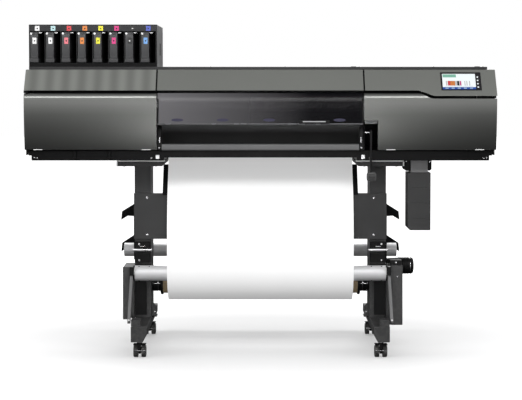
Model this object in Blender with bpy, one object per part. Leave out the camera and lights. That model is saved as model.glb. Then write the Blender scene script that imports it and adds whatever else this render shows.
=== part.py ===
"""A wide-format printer cutter on a caster stand, with an ink rack and a media take-up unit.

Metres, +Z up. The origin is at the middle of the floor area under the machine, X runs along
the print width, and the front faces -Y.
"""

import math

import bmesh
import bpy
from mathutils import Vector

# Overall
WIDTH = 1.882  # over the two side panels
DEPTH = 0.810  # from the front ends of the feet to the rear ends of the roll brackets
STAND_HEIGHT = 0.7865  # floor to the plates that carry the machine
GAP = 0.0003  # left where two pieces touch
SIDES = {"left": -1, "right": 1}
ROUND = 24  # sides of a turned piece
FINE_ROUND = 32  # sides of a large turned piece
SHEET = 0.002
SKIN = 0.003
SEAM = 0.002

# Stand
LEG_X = 0.4855
LEG_WIDTH = 0.067
LEG_FRONT = -0.176
LEG_DEPTH = 0.138
PLATE_TO_MEDIA = 0.004  # from the media to the inner end of a top plate
PLATE_OUTWARD = 0.063
PLATE_FRONT = -0.300
PLATE_BACK = 0.050
PLATE_THICKNESS = 0.019
PLATE_CHAMFER = 0.012
CLAMP_BOTTOM = 0.360
CLAMP_HEIGHT = 0.095
CLAMP_DEPTH = 0.012
CLAMP_INSET = 0.003
FOOT_WIDTH = 0.064
FOOT_BOTTOM = 0.069
FOOT_HEIGHT = 0.063
FOOT_BACK = 0.230
FOOT_CHAMFER = (0.016, 0.030)
CROSS_OVERLAP = 0.002  # past the outer sides of the legs
CROSS_BELOW = 0.1365  # from the plates down to the cross panel
CROSS_HEIGHT = 0.189
CROSS_DEPTH = 0.014

# Casters
CASTER_Y = {"front": -0.362, "rear": 0.185}
TRAIL = 0.014
WHEEL_RADIUS = 0.025
WHEEL_WIDTH = 0.019
WHEEL_GAP = 0.014
WHEEL_EDGE = 0.004
AXLE_RADIUS = 0.004
AXLE_CLEARANCE = 0.0005
HOOD_THICKNESS = 0.010
HOOD_RADIUS = 0.019
HOOD_CAP = 0.0035
HOOD_CAP_WIDTH = 0.050
HOOD_CAP_BACK = 0.030
WHEEL_CLEARANCE = 0.002
STEM_RADIUS = 0.011

# Body
BODY_BACK = 0.140
MODULE_INNER = 0.413  # where the centre ends and the side modules start
TRAY_INSET = 0.013
TRAY_STEP = (0.012, 0.021)
TRAY_FRONT = -0.360
TRAY_LIFT = 0.0075  # from the plates to the tray
TRAY_HEIGHT = 0.041
CENTRE_RISE = 0.012
SEAT_FRONT = -0.200  # where the chassis starts to rest on the plates
TOP_THICKNESS = 0.011
UPRIGHT_THICKNESS = 0.005
UPRIGHT_BACK = -0.150

# Front covers
COVER_LIFT = 0.0025
COVER_HEIGHT = 0.2255
COVER_FRONT = -0.395
COVER_TUCK = 0.018  # how far the lower edge lies behind the bulge
COVER_BACK = -0.350
COVER_SWING = 0.010  # left behind a cover for its turn
FOLD_RADIUS = 0.020
NOTCH_WIDTH = 0.055
NOTCH_HEIGHT = 0.1185
STEP_FROM_SIDE = 0.311
STEP_RUN = 0.060
STEP_DROP = 0.0215

# Upper panels
BAND = 0.0115  # the dark band between the covers and the upper panels
FASCIA_HEIGHT = 0.0835
FASCIA_BOTTOM_Y = -0.387
FASCIA_TOP_Y = -0.330
FASCIA_THICKNESS = 0.004
SCREEN_FROM_SIDE = 0.221
SCREEN_WIDTH = 0.161
SCREEN_HEIGHT = 0.0715
SCREEN_RISE = 0.001
SCREEN_PROUD = 0.003

# Window
WINDOW_RISE = 0.077  # from the front bar to the window
WINDOW_HEIGHT = 0.126
WINDOW_FRONT = -0.3925
WINDOW_LEAN = 0.0145
WINDOW_CLEARANCE = 0.0035
WINDOW_LIP = 0.014
HANDLE_LEFT = 0.153
HANDLE_WIDTH = 0.122
HANDLE_RISE = 0.005
HANDLE_HEIGHT = 0.014
HANDLE_PROUD = 0.009

# Media path
WEB_HALF = 0.381
WEB_THICKNESS = 0.0005
PLATEN_HEIGHT = 0.0097
PLATEN_FRONT = -0.098
PLATEN_BACK = 0.030
PATH_CLEARANCE = 0.011  # beside the media in the slot through the chassis
SLOT_FRONT = -0.165
SLOT_BACK = -0.118
BEND_RADIUS = 0.030
REAR_BEND_Y = 0.142
GRIT_RADIUS = 0.0105
GRIT_JOURNAL = 0.006
GRIT_CLEARANCE = 0.002
PINCH_RADIUS = 0.009
PINCH_COUNT = 8
PINCH_WIDTH = 0.026
PINCH_REACH = 0.0625  # from the grit roller back to the pivot
PINCH_LIFT = 0.027  # from the platen up to the pivot
FRONT_BAR_PROUD = 0.018
FRONT_BAR_DEPTH = 0.040
FRONT_BAR_HEIGHT = 0.0257
FRONT_BAR_SHORT = 0.019  # from each end of the bar to the side modules
ENTRY_RISE = 0.014
APRON_MARGIN = 0.021  # beside the media
APRON_BOTTOM_BELOW = 0.1415
WEB_UPPER = ((-0.155, 0.0365), (-0.222, 0.1465))  # y, and how far below the plates
WEB_LOWER = ((-0.0015, 0.196), (0.0065, 0.126))  # in front of the dancer tube, and above its axis
APRON_BEHIND = 0.009  # from the media to the apron
APRON_CURL = 0.007
LOOP_DROP = 0.090
LOOP_BULGE = 0.0035

# Rail and carriages
RAIL_FRONT = 0.008
RAIL_DEPTH = 0.055
RAIL_LIFT = 0.085  # from the platen to the rail
RAIL_HEIGHT = 0.100
RAIL_GROOVE = 0.010
CARRIAGE_FRONT = -0.135
CARRIAGE_LIFT = 0.004
CARRIAGE_HEIGHT = 0.151
CARRIAGE_PARK = 0.281  # from the right side panel
CARRIAGE_CLEARANCE = 0.001
PRINT_CARRIAGE_WIDTH = 0.150
CUTTING_CARRIAGE_WIDTH = 0.062
CARRIAGE_SPACING = 0.002

# Loading lever
LEVER_OFFSET = 0.028  # from the start of the right module
LEVER_THICKNESS = 0.008
LEVER_PIVOT_Y = -0.325
LEVER_PIVOT_RISE = 0.0675
LEVER_BOSS = 0.014
LEVER_FRONT = -0.386
LEVER_DEPTH = 0.018
LEVER_PIN = 0.006
GRIP_WIDTH = 0.039
GRIP_SHIFT = 0.0025
GRIP_DEPTH = 0.032
GRIP_HEIGHT = 0.035
GRIP_BELOW = 0.1245  # from the cover's lower edge to the bottom of the grip

# Ink rack
RACK_WIDTH = 0.520
RACK_HEIGHT = 0.1722
RACK_FRONT = -0.245
RACK_DEPTH = 0.369
CARTRIDGES = 8
CARTRIDGE_PITCH = 0.0645
CARTRIDGE_WIDTH = 0.035
CARTRIDGE_RISE = 0.0177
CARTRIDGE_HEIGHT = 0.1245
CARTRIDGE_DEPTH = 0.235
BAY_WALL = 0.0035
END_WALL = 0.0025
BAY_CLEARANCE = 0.001

# Drain bottle
DRAIN_FROM_SIDE = 0.343
DRAIN_WIDTH = 0.093
DRAIN_FRONT = -0.285
DRAIN_DEPTH = 0.105
DRAIN_BRACKET_HEIGHT = 0.053
DRAIN_BOTTLE_HEIGHT = 0.2347
DRAIN_CHAMFER = 0.010
DRAIN_EAR = 0.012

# Take-up unit
ROLL_Y = -0.108
ROLL_Z = 0.270
ROLL_RADIUS = 0.069
CORE_RADIUS = 0.045
CORE_PAST_WEB = 0.024
HUB_RADIUS = 0.036
HUB_FLANGE = 0.050
HUB_FLANGE_WIDTH = 0.010
HUB_CLEARANCE = 0.001
TUBE_Y = -0.224
TUBE_Z = 0.324
TUBE_RADIUS = 0.0315
ARM_CLEARANCE = 0.0025
ARM_THICKNESS = 0.012
ARM_WIDTH = 0.022
ARM_PIVOT = (-0.370, 0.150)
ARM_BOSS = 0.030
PIVOT_BLOCK_DEPTH = 0.052
PIVOT_BLOCK_WIDTH = 0.0375
PIVOT_BLOCK_TOP = 0.158
BOX_FRONT = -0.205
BOX_FOOT_FRONT = -0.168
BOX_CLEARANCE = 0.0015  # between a side box and the dancer arm
BOXES = {
    "left": {"width": 0.032, "bottom": 0.129, "height": 0.218, "depth": 0.145},
    "right": {"width": 0.052, "bottom": 0.106, "height": 0.248, "depth": 0.059},
}
MOTOR_RADIUS = 0.035
MOTOR_Y = -0.108
MOTOR_Z = 0.341
MOTOR_LENGTH = 0.113

# Rear roll holders
REAR_TUBE_Y = 0.345
REAR_TUBE_Z = 0.357
REAR_TUBE_RADIUS = 0.030
REAR_TUBE_PAST_LEG = 0.091
REAR_BOSS_WALL = 0.012
REAR_PLATE = 0.008
REAR_ARM_HEIGHT = 0.050
REAR_SPINE = (0.090, 0.020)  # in front of and behind the back of a leg
SUPPLY_Y = 0.290
SUPPLY_Z = 0.550
SUPPLY_RADIUS = 0.085
SUPPLY_SHAFT = 0.012
SUPPLY_BOSS = 0.030
FIN_REACH = 0.109
FIN_DEPTH = 0.020
FINS = ((0.343, 0.419), (0.487, 0.560))

LEG_INNER = LEG_X - LEG_WIDTH / 2
LEG_OUTER = LEG_X + LEG_WIDTH / 2
LEG_BACK = LEG_FRONT + LEG_DEPTH
PLATE_INNER = WEB_HALF + PLATE_TO_MEDIA
PLATE_OUTER = LEG_OUTER + PLATE_OUTWARD
FOOT_TOP = FOOT_BOTTOM + FOOT_HEIGHT
CROSS_TOP = STAND_HEIGHT - CROSS_BELOW
SIDE_OUTER = WIDTH / 2
SIDE_INNER = SIDE_OUTER - SKIN
TRAY_BOTTOM = STAND_HEIGHT + TRAY_LIFT
TRAY_TOP = TRAY_BOTTOM + TRAY_HEIGHT
CASING_BOTTOM = TRAY_TOP - TRAY_HEIGHT / 2
COVER_BOTTOM = TRAY_TOP + COVER_LIFT
COVER_TOP = COVER_BOTTOM + COVER_HEIGHT
COVER_HINGE = (COVER_FRONT + FOLD_RADIUS, COVER_TOP - FOLD_RADIUS)
STEP_START = SIDE_OUTER - STEP_FROM_SIDE
STEP_END = STEP_START + STEP_RUN
FASCIA_BOTTOM = COVER_TOP + BAND
FASCIA_TOP = FASCIA_BOTTOM + FASCIA_HEIGHT
FASCIA_SLOPE = (FASCIA_TOP_Y - FASCIA_BOTTOM_Y) / FASCIA_HEIGHT
BODY_TOP = FASCIA_TOP + TOP_THICKNESS
CASING_FRONT = COVER_BACK + COVER_SWING
PATH_HALF = WEB_HALF + PATH_CLEARANCE
PLATEN_TOP = TRAY_TOP + GAP + PLATEN_HEIGHT
WEB_BOTTOM = PLATEN_TOP + GAP
WEB_TOP = WEB_BOTTOM + WEB_THICKNESS
FRONT_BAR_TOP = TRAY_TOP + GAP + FRONT_BAR_HEIGHT
APRON_HALF = WEB_HALF + APRON_MARGIN
CORE_HALF = WEB_HALF + CORE_PAST_WEB
WINDOW_BOTTOM = FRONT_BAR_TOP + WINDOW_RISE
WINDOW_TOP = WINDOW_BOTTOM + WINDOW_HEIGHT
WINDOW_TOP_Y = WINDOW_FRONT + WINDOW_LEAN
GRIT_CENTRE = (PLATEN_BACK + GRIT_CLEARANCE + GRIT_RADIUS, PLATEN_TOP - GRIT_RADIUS)
PINCH_PIVOT = (GRIT_CENTRE[0] + PINCH_REACH, PLATEN_TOP + PINCH_LIFT)
RAIL_BOTTOM = PLATEN_TOP + RAIL_LIFT
RAIL_TOP = RAIL_BOTTOM + RAIL_HEIGHT
LEVER_X = MODULE_INNER + LEVER_OFFSET
LEVER_PIVOT = (LEVER_PIVOT_Y, COVER_BOTTOM + LEVER_PIVOT_RISE)
RACK_LEFT = -SIDE_OUTER
RACK_BOTTOM = BODY_TOP + GAP
CARTRIDGE_BOTTOM = RACK_BOTTOM + CARTRIDGE_RISE


def material(name, colour, roughness, metallic=0.0):
    """A Principled material of one plain finish."""
    made = bpy.data.materials.new(name)
    made.use_nodes = True
    shader = made.node_tree.nodes["Principled BSDF"]
    shader.inputs["Base Color"].default_value = (*colour, 1.0)
    shader.inputs["Roughness"].default_value = roughness
    shader.inputs["Metallic"].default_value = metallic
    made.diffuse_color = (*colour, 1.0)
    return made


def piece(name, shape, finish, origin=(0.0, 0.0, 0.0)):
    """An object from a closed shape, with its own material and its origin where it turns."""
    bmesh.ops.recalc_face_normals(shape, faces=shape.faces)
    bmesh.ops.translate(shape, verts=shape.verts, vec=-Vector(origin))
    mesh = bpy.data.meshes.new(name)
    shape.to_mesh(mesh)
    shape.free()
    mesh.materials.append(material(name, *finish))
    made = bpy.data.objects.new(name, mesh)
    made.location = origin
    bpy.context.scene.collection.objects.link(made)
    return made


def smooth(made):
    """Soft shading on a round piece, with its real corners kept sharp."""
    made.data.shade_smooth()
    made.data.set_sharp_from_angle(angle=math.radians(40))


def combine(made, shape, operation):
    """Cuts a shape from a piece, or joins it on, with a hidden helper object."""
    bmesh.ops.recalc_face_normals(shape, faces=shape.faces)
    mesh = bpy.data.meshes.new(made.name + "_helper")
    shape.to_mesh(mesh)
    shape.free()
    helper = bpy.data.objects.new(mesh.name, mesh)
    helper.hide_render = True
    helper.display_type = "WIRE"
    bpy.context.scene.collection.objects.link(helper)
    boolean = made.modifiers.new("Boolean", "BOOLEAN")
    boolean.operation = operation
    boolean.solver = "EXACT"
    boolean.object = helper


def cut(made, shape):
    combine(made, shape, "DIFFERENCE")


def join(made, shape):
    combine(made, shape, "UNION")


def ease(made, width):
    """A narrow chamfer on a piece's sharp edges."""
    bevel = made.modifiers.new("Bevel", "BEVEL")
    bevel.width = width
    bevel.segments = 1
    bevel.limit_method = "ANGLE"
    bevel.angle_limit = math.radians(40)


def block(low, high):
    """A box between two corners."""
    shape = bmesh.new()
    bmesh.ops.create_cube(shape, size=1.0)
    low = Vector(low)
    high = Vector(high)
    for vertex in shape.verts:
        for axis in range(3):
            vertex.co[axis] = high[axis] if vertex.co[axis] > 0 else low[axis]
    return shape


def prism(outline, axis, start, end):
    """An outline extruded along X, Y or Z. Its points give the two other coordinates in order."""
    along = "XYZ".index(axis)
    shape = bmesh.new()
    corners = []
    for first, second in outline:
        place = [first, second]
        place.insert(along, start)
        corners.append(shape.verts.new(place))
    face = shape.faces.new(corners)
    grown = bmesh.ops.extrude_face_region(shape, geom=[face])
    moved = [item for item in grown["geom"] if isinstance(item, bmesh.types.BMVert)]
    step = Vector((0.0, 0.0, 0.0))
    step[along] = end - start
    bmesh.ops.translate(shape, verts=moved, vec=step)
    return shape


def turned(profile, centre, sides=ROUND):
    """A closed profile of (x, radius) points spun about an X axis through centre (y, z)."""
    shape = bmesh.new()
    points = [(profile[0][0], 0.0), *profile, (profile[-1][0], 0.0)]
    line = [shape.verts.new((x, centre[0], centre[1] - radius)) for x, radius in points]
    edges = [shape.edges.new(pair) for pair in zip(line, line[1:])]
    bmesh.ops.spin(
        shape,
        geom=line + edges,
        cent=(0.0, *centre),
        axis=(1.0, 0.0, 0.0),
        angle=math.tau,
        steps=sides,
        use_merge=True,
    )
    bmesh.ops.remove_doubles(shape, verts=shape.verts, dist=1e-6)
    return shape


def upright_rod(radius, centre, low, high, sides=ROUND):
    """A rod along Z."""
    outline = circle(centre, radius, sides)
    return prism(outline, "Z", low, high)


def circle(centre, radius, sides):
    return arc(centre, radius, 0.0, math.tau * (sides - 1) / sides, sides)


def arc(centre, radius, start, end, count):
    """Points along an arc, both ends included."""
    angles = [start + (end - start) * i / (count - 1) for i in range(count)]
    return [(centre[0] + radius * math.cos(a), centre[1] + radius * math.sin(a)) for a in angles]


def sheet_outline(line, thickness):
    """A closed outline of even thickness, on the left of a line of (y, z) points."""
    other = []
    for i, point in enumerate(line):
        before = Vector(line[max(i - 1, 0)])
        after = Vector(line[min(i + 1, len(line) - 1)])
        along = (after - before).normalized()
        other.append((point[0] - along.y * thickness, point[1] + along.x * thickness))
    return list(line) + other[::-1]


def tangent(centre, radius, point, turn):
    """Where a straight line from a point touches a circle, on the side that turn gives."""
    away = Vector(point) - Vector(centre)
    angle = math.atan2(away.y, away.x) + turn * math.acos(radius / away.length)
    return (centre[0] + radius * math.cos(angle), centre[1] + radius * math.sin(angle))


BLACK_METAL = ((0.012, 0.012, 0.012), 0.45)
FRAME_GREY = ((0.045, 0.045, 0.045), 0.55)
GUNMETAL = ((0.16, 0.165, 0.15), 0.35, 0.6)
COVER_GREY = ((0.09, 0.09, 0.086), 0.3, 0.5)
BLACK_PLASTIC = ((0.01, 0.01, 0.01), 0.5)
GREY_PLASTIC = ((0.15, 0.15, 0.15), 0.5)
SILVER = ((0.7, 0.7, 0.7), 0.3, 1.0)
SMOKED = ((0.03, 0.03, 0.035), 0.1)
PAPER = ((0.85, 0.85, 0.84), 0.8)
RUBBER = ((0.02, 0.02, 0.02), 0.7)


def build_foot(name, side):
    inner = LEG_X - FOOT_WIDTH / 2
    outer = LEG_X + FOOT_WIDTH / 2
    across, up = FOOT_CHAMFER
    outline = [
        (side * outer, FOOT_BOTTOM),
        (side * outer, FOOT_TOP),
        (side * inner, FOOT_TOP),
        (side * inner, FOOT_BOTTOM + up),
        (side * (inner + across), FOOT_BOTTOM),
    ]
    foot = piece(f"{name}_foot", prism(outline, "Y", -DEPTH / 2, FOOT_BACK), FRAME_GREY)
    ends = sorted((side * (outer - PIVOT_BLOCK_WIDTH), side * outer))
    half = PIVOT_BLOCK_DEPTH / 2
    low = (ends[0], ARM_PIVOT[0] - half, FOOT_TOP - 0.01)
    high = (ends[1], ARM_PIVOT[0] + half, PIVOT_BLOCK_TOP)
    join(foot, block(low, high))


def build_leg(name, side):
    """A column with its welded top plate, and the clamp that the take-up unit hangs from."""
    ends = sorted((side * LEG_INNER, side * LEG_OUTER))
    low = (ends[0], LEG_FRONT, FOOT_TOP + GAP)
    high = (ends[1], LEG_BACK, STAND_HEIGHT - PLATE_THICKNESS / 2)
    leg = piece(f"{name}_leg", block(low, high), FRAME_GREY)
    bottom = STAND_HEIGHT - PLATE_THICKNESS
    outline = [
        (side * PLATE_OUTER, bottom),
        (side * PLATE_OUTER, STAND_HEIGHT),
        (side * PLATE_INNER, STAND_HEIGHT),
        (side * PLATE_INNER, STAND_HEIGHT - SHEET),
        (side * (PLATE_INNER + PLATE_CHAMFER), bottom),
    ]
    join(leg, prism(outline, "Y", PLATE_FRONT, PLATE_BACK))
    low = (ends[0] + CLAMP_INSET, LEG_FRONT - CLAMP_DEPTH, CLAMP_BOTTOM)
    high = (ends[1] - CLAMP_INSET, LEG_FRONT + CLAMP_DEPTH, CLAMP_BOTTOM + CLAMP_HEIGHT)
    join(leg, block(low, high))


def build_cross_panel():
    """A folded sheet across the fronts of the legs."""
    back = LEG_FRONT - GAP
    front = back - CROSS_DEPTH
    bottom = CROSS_TOP - CROSS_HEIGHT
    outline = [
        (back, bottom),
        (front, bottom),
        (front, CROSS_TOP),
        (back, CROSS_TOP),
        (back, CROSS_TOP - SHEET),
        (front + SHEET, CROSS_TOP - SHEET),
        (front + SHEET, bottom + SHEET),
        (back, bottom + SHEET),
    ]
    half = LEG_OUTER + CROSS_OVERLAP
    piece("cross_panel", prism(outline, "X", -half, half), FRAME_GREY)


def build_caster(name, x, y):
    """A twin-wheel caster: a hood that swivels, and two wheels on one axle that trails."""
    axle = (y + TRAIL, WHEEL_RADIUS)
    slot = AXLE_RADIUS + AXLE_CLEARANCE
    outline = arc(axle, HOOD_RADIUS, math.radians(-30), math.radians(210), 9)
    outline += [
        (axle[0] - slot, axle[1] - HOOD_RADIUS / 2),
        *arc(axle, slot, math.pi, 0.0, 5),
        (axle[0] + slot, axle[1] - HOOD_RADIUS / 2),
    ]
    half = HOOD_THICKNESS / 2
    fork = piece(
        f"{name}_caster_fork",
        prism(outline, "X", x - half, x + half),
        BLACK_PLASTIC,
        (x, y, FOOT_BOTTOM),
    )
    cap_bottom = 2 * WHEEL_RADIUS + WHEEL_CLEARANCE
    neck = block(
        (x - half, y - STEM_RADIUS, axle[1] + HOOD_RADIUS / 2),
        (x + half, y + HOOD_RADIUS, cap_bottom + HOOD_CAP / 2),
    )
    join(fork, neck)
    cap_half = HOOD_CAP_WIDTH / 2
    cap = block(
        (x - cap_half, y - STEM_RADIUS - WHEEL_CLEARANCE, cap_bottom),
        (x + cap_half, y + HOOD_CAP_BACK, cap_bottom + HOOD_CAP),
    )
    join(fork, cap)
    stem_bottom = cap_bottom + HOOD_CAP / 2
    join(fork, upright_rod(STEM_RADIUS, (x, y), stem_bottom, FOOT_BOTTOM - GAP, 12))
    inner = WHEEL_GAP / 2
    outer = inner + WHEEL_WIDTH
    profile = [
        (x - outer, WHEEL_RADIUS - WHEEL_EDGE),
        (x - outer + WHEEL_EDGE, WHEEL_RADIUS),
        (x - inner - WHEEL_EDGE / 2, WHEEL_RADIUS),
        (x - inner, WHEEL_RADIUS - WHEEL_EDGE / 2),
        (x - inner, AXLE_RADIUS),
        (x + inner, AXLE_RADIUS),
        (x + inner, WHEEL_RADIUS - WHEEL_EDGE / 2),
        (x + inner + WHEEL_EDGE / 2, WHEEL_RADIUS),
        (x + outer - WHEEL_EDGE, WHEEL_RADIUS),
        (x + outer, WHEEL_RADIUS - WHEEL_EDGE),
    ]
    smooth(piece(f"{name}_caster_wheels", turned(profile, axle), RUBBER, (x, *axle)))


def build_chassis():
    """The tray that carries the machine, with the media slot and the two inner uprights."""
    seat = STAND_HEIGHT + GAP
    bottom = TRAY_BOTTOM + CENTRE_RISE
    edge = SIDE_OUTER - TRAY_INSET
    step_x, step_z = TRAY_STEP
    half = [
        (PLATE_INNER, bottom),
        (PLATE_INNER, seat),
        (PLATE_OUTER - SHEET, seat),
        (PLATE_OUTER - SHEET, TRAY_BOTTOM),
        (edge - step_x, TRAY_BOTTOM),
        (edge - step_x, TRAY_TOP - step_z),
        (edge, TRAY_TOP - step_z),
        (edge, TRAY_TOP),
    ]
    outline = [(-x, z) for x, z in reversed(half)] + half
    shape = prism(outline, "Y", TRAY_FRONT, BODY_BACK - SKIN - GAP)
    chassis = piece("chassis", shape, BLACK_METAL)
    low = (-SIDE_OUTER, TRAY_FRONT - 0.02, STAND_HEIGHT - 0.02)
    cut(chassis, block(low, (SIDE_OUTER, SEAT_FRONT, TRAY_BOTTOM)))
    low = (-PATH_HALF, SLOT_FRONT, TRAY_BOTTOM - 0.02)
    high = (PATH_HALF, SLOT_BACK, TRAY_TOP + 0.02)
    cut(chassis, block(low, high))
    grit_y, grit_z = GRIT_CENTRE
    room = GRIT_RADIUS + GRIT_CLEARANCE
    low = (-PATH_HALF, grit_y - room, grit_z - room)
    high = (PATH_HALF, grit_y + room, TRAY_TOP + 0.02)
    cut(chassis, block(low, high))
    start = MODULE_INNER + SEAM
    for side in SIDES.values():
        ends = sorted((side * start, side * (start + UPRIGHT_THICKNESS)))
        low = (ends[0], CASING_FRONT, TRAY_TOP - 0.01)
        high = (ends[1], UPRIGHT_BACK, COVER_TOP)
        join(chassis, block(low, high))


def cover_skin(offset):
    """The bulged face of a front cover with its rounded fold, from the bottom up."""
    low = COVER_BOTTOM + offset
    high = COVER_HINGE[1]
    points = []
    for i in range(6):
        share = i / 5
        bulge = COVER_FRONT + COVER_TUCK * (1 - share) ** 2
        points.append((bulge + offset, low + (high - low) * share))
    fold = arc(COVER_HINGE, FOLD_RADIUS - offset, math.pi, math.pi / 2, 7)
    return points + fold[1:]


def cover_shape(left, right):
    """The solid outer form of a front cover."""
    outline = cover_skin(0.0) + [(COVER_BACK, COVER_TOP), (COVER_BACK, COVER_BOTTOM)]
    return prism(outline, "X", left, right)


def cover_hollow(left, right):
    """The space inside a front cover, open at the back."""
    top = COVER_TOP - SKIN
    behind = COVER_BACK + 0.02
    outline = cover_skin(SKIN) + [(behind, top), (behind, COVER_BOTTOM + SKIN)]
    return prism(outline, "X", left + SKIN, right - SKIN)


def build_front_covers():
    hinge = (0.0, *COVER_HINGE)
    ends = (-SIDE_OUTER, -MODULE_INNER)
    left = piece("left_cover", cover_shape(*ends), COVER_GREY, hinge)
    cut(left, cover_hollow(*ends))
    ends = (MODULE_INNER, SIDE_OUTER)
    right = piece("right_cover", cover_shape(*ends), COVER_GREY, hinge)
    cut(right, cover_hollow(*ends))
    low = (MODULE_INNER - 0.01, COVER_FRONT - 0.02, COVER_BOTTOM - 0.02)
    high = (MODULE_INNER + NOTCH_WIDTH, COVER_BACK + 0.02, COVER_BOTTOM + NOTCH_HEIGHT)
    cut(right, block(low, high))
    step = [
        (STEP_START, COVER_TOP + 0.02),
        (STEP_START, COVER_TOP + 0.001),
        (STEP_END, COVER_TOP - STEP_DROP),
        (SIDE_OUTER + 0.02, COVER_TOP - STEP_DROP),
        (SIDE_OUTER + 0.02, COVER_TOP + 0.02),
    ]
    cut(right, prism(step, "Y", COVER_FRONT - 0.02, COVER_BACK + 0.02))


def fascia_y(z):
    """How far back the sloping front face lies at a height."""
    return FASCIA_BOTTOM_Y + (z - FASCIA_BOTTOM) * FASCIA_SLOPE


def sloping_plate(outline, front, thickness):
    """A plate on the sloping face, from an outline of (x, z) points."""
    shape = prism(outline, "Y", 0.0, thickness)
    for vertex in shape.verts:
        vertex.co.y += fascia_y(vertex.co.z) + front
    return shape


def build_upper_panels():
    seam = SEAM / 2
    low, high = FASCIA_BOTTOM, FASCIA_TOP
    inner = MODULE_INNER - 0.001
    outlines = {
        "left_upper_panel": [
            (-SIDE_OUTER, low), (-inner - seam, low), (-inner - seam, high), (-SIDE_OUTER, high)
        ],
        "centre_upper_panel": [
            (-inner + seam, low), (inner - seam, low), (inner - seam, high), (-inner + seam, high)
        ],
        "right_upper_panel": [
            (inner + seam, low),
            (STEP_START, low),
            (STEP_END, low - STEP_DROP),
            (SIDE_OUTER, low - STEP_DROP),
            (SIDE_OUTER, high),
            (inner + seam, high),
        ],
    }
    for name, outline in outlines.items():
        piece(name, sloping_plate(outline, 0.0, FASCIA_THICKNESS), GUNMETAL)


def build_screen():
    left = SIDE_OUTER - SCREEN_FROM_SIDE
    right = left + SCREEN_WIDTH
    low = FASCIA_BOTTOM + SCREEN_RISE
    high = low + SCREEN_HEIGHT
    outline = [(left, low), (right, low), (right, high), (left, high)]
    shape = sloping_plate(outline, -SCREEN_PROUD - GAP, SCREEN_PROUD)
    piece("touch_screen", shape, BLACK_PLASTIC)


def build_casing():
    """The side, rear and top panels that close the body."""
    behind = FASCIA_THICKNESS + GAP
    top = FASCIA_TOP - GAP
    outline = [
        (CASING_FRONT, CASING_BOTTOM),
        (CASING_FRONT, FASCIA_BOTTOM),
        (fascia_y(FASCIA_BOTTOM) + behind, FASCIA_BOTTOM),
        (fascia_y(top) + behind, top),
        (BODY_BACK, top),
        (BODY_BACK, CASING_BOTTOM),
    ]
    for name, side in SIDES.items():
        ends = sorted((side * SIDE_INNER, side * SIDE_OUTER))
        piece(f"{name}_side_panel", prism(outline, "X", *ends), GUNMETAL)
    across = SIDE_INNER - GAP
    entry = FRONT_BAR_TOP + ENTRY_RISE
    outline = [
        (-across, CASING_BOTTOM),
        (-MODULE_INNER, CASING_BOTTOM),
        (-MODULE_INNER, entry),
        (MODULE_INNER, entry),
        (MODULE_INNER, CASING_BOTTOM),
        (across, CASING_BOTTOM),
        (across, top),
        (-across, top),
    ]
    piece("rear_cover", prism(outline, "Y", BODY_BACK - SKIN, BODY_BACK), BLACK_METAL)
    low = (-SIDE_OUTER, FASCIA_TOP_Y - 0.001, FASCIA_TOP + GAP)
    high = (SIDE_OUTER, BODY_BACK, BODY_TOP)
    ease(piece("top_cover", block(low, high), BLACK_METAL), 0.002)


def build_window():
    """The smoked front window, hinged along its top edge, and its pull."""
    across = MODULE_INNER - WINDOW_CLEARANCE
    pivot = (WINDOW_TOP_Y + FASCIA_THICKNESS, WINDOW_TOP)
    bulge = [
        (WINDOW_FRONT, WINDOW_BOTTOM + WINDOW_HEIGHT / 3),
        (WINDOW_FRONT + 0.0005, WINDOW_BOTTOM + WINDOW_HEIGHT * 0.63),
        (WINDOW_FRONT + 0.004, WINDOW_TOP - 0.018),
        (WINDOW_TOP_Y, WINDOW_TOP),
    ]
    face = [(WINDOW_FRONT + WINDOW_LIP, WINDOW_BOTTOM), (WINDOW_FRONT, WINDOW_BOTTOM), *bulge]
    back = [(y + SKIN, z) for y, z in reversed(bulge)]
    back += [
        (WINDOW_FRONT + SKIN, WINDOW_BOTTOM + SKIN),
        (WINDOW_FRONT + WINDOW_LIP, WINDOW_BOTTOM + SKIN),
    ]
    piece("window", prism(face + back, "X", -across, across), SMOKED, (0.0, *pivot))
    bottom = WINDOW_BOTTOM + HANDLE_RISE
    low = (HANDLE_LEFT, WINDOW_FRONT - HANDLE_PROUD, bottom)
    high = (HANDLE_LEFT + HANDLE_WIDTH, WINDOW_FRONT - GAP, bottom + HANDLE_HEIGHT)
    handle = piece("window_handle", block(low, high), SILVER, (0.0, *pivot))
    ease(handle, 0.003)


def build_media_path():
    """The platen, the rollers and the parts that guide the media."""
    low = (-PATH_HALF, PLATEN_FRONT, TRAY_TOP + GAP)
    high = (PATH_HALF, PLATEN_BACK, PLATEN_TOP)
    piece("platen", block(low, high), SILVER)
    end = PATH_HALF - GAP
    half = PATH_HALF - 0.004
    profile = [
        (-end, GRIT_JOURNAL),
        (-half, GRIT_JOURNAL),
        (-half, GRIT_RADIUS),
        (half, GRIT_RADIUS),
        (half, GRIT_JOURNAL),
        (end, GRIT_JOURNAL),
    ]
    grit = piece("grit_roller", turned(profile, GRIT_CENTRE), SILVER, (0.0, *GRIT_CENTRE))
    smooth(grit)
    half = MODULE_INNER - FRONT_BAR_SHORT
    front = TRAY_FRONT - FRONT_BAR_PROUD
    low = (-half, front, TRAY_TOP + GAP)
    high = (half, front + FRONT_BAR_DEPTH, FRONT_BAR_TOP)
    ease(piece("front_bar", block(low, high), GREY_PLASTIC), 0.004)
    build_pinch_bar()
    build_apron()


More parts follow.
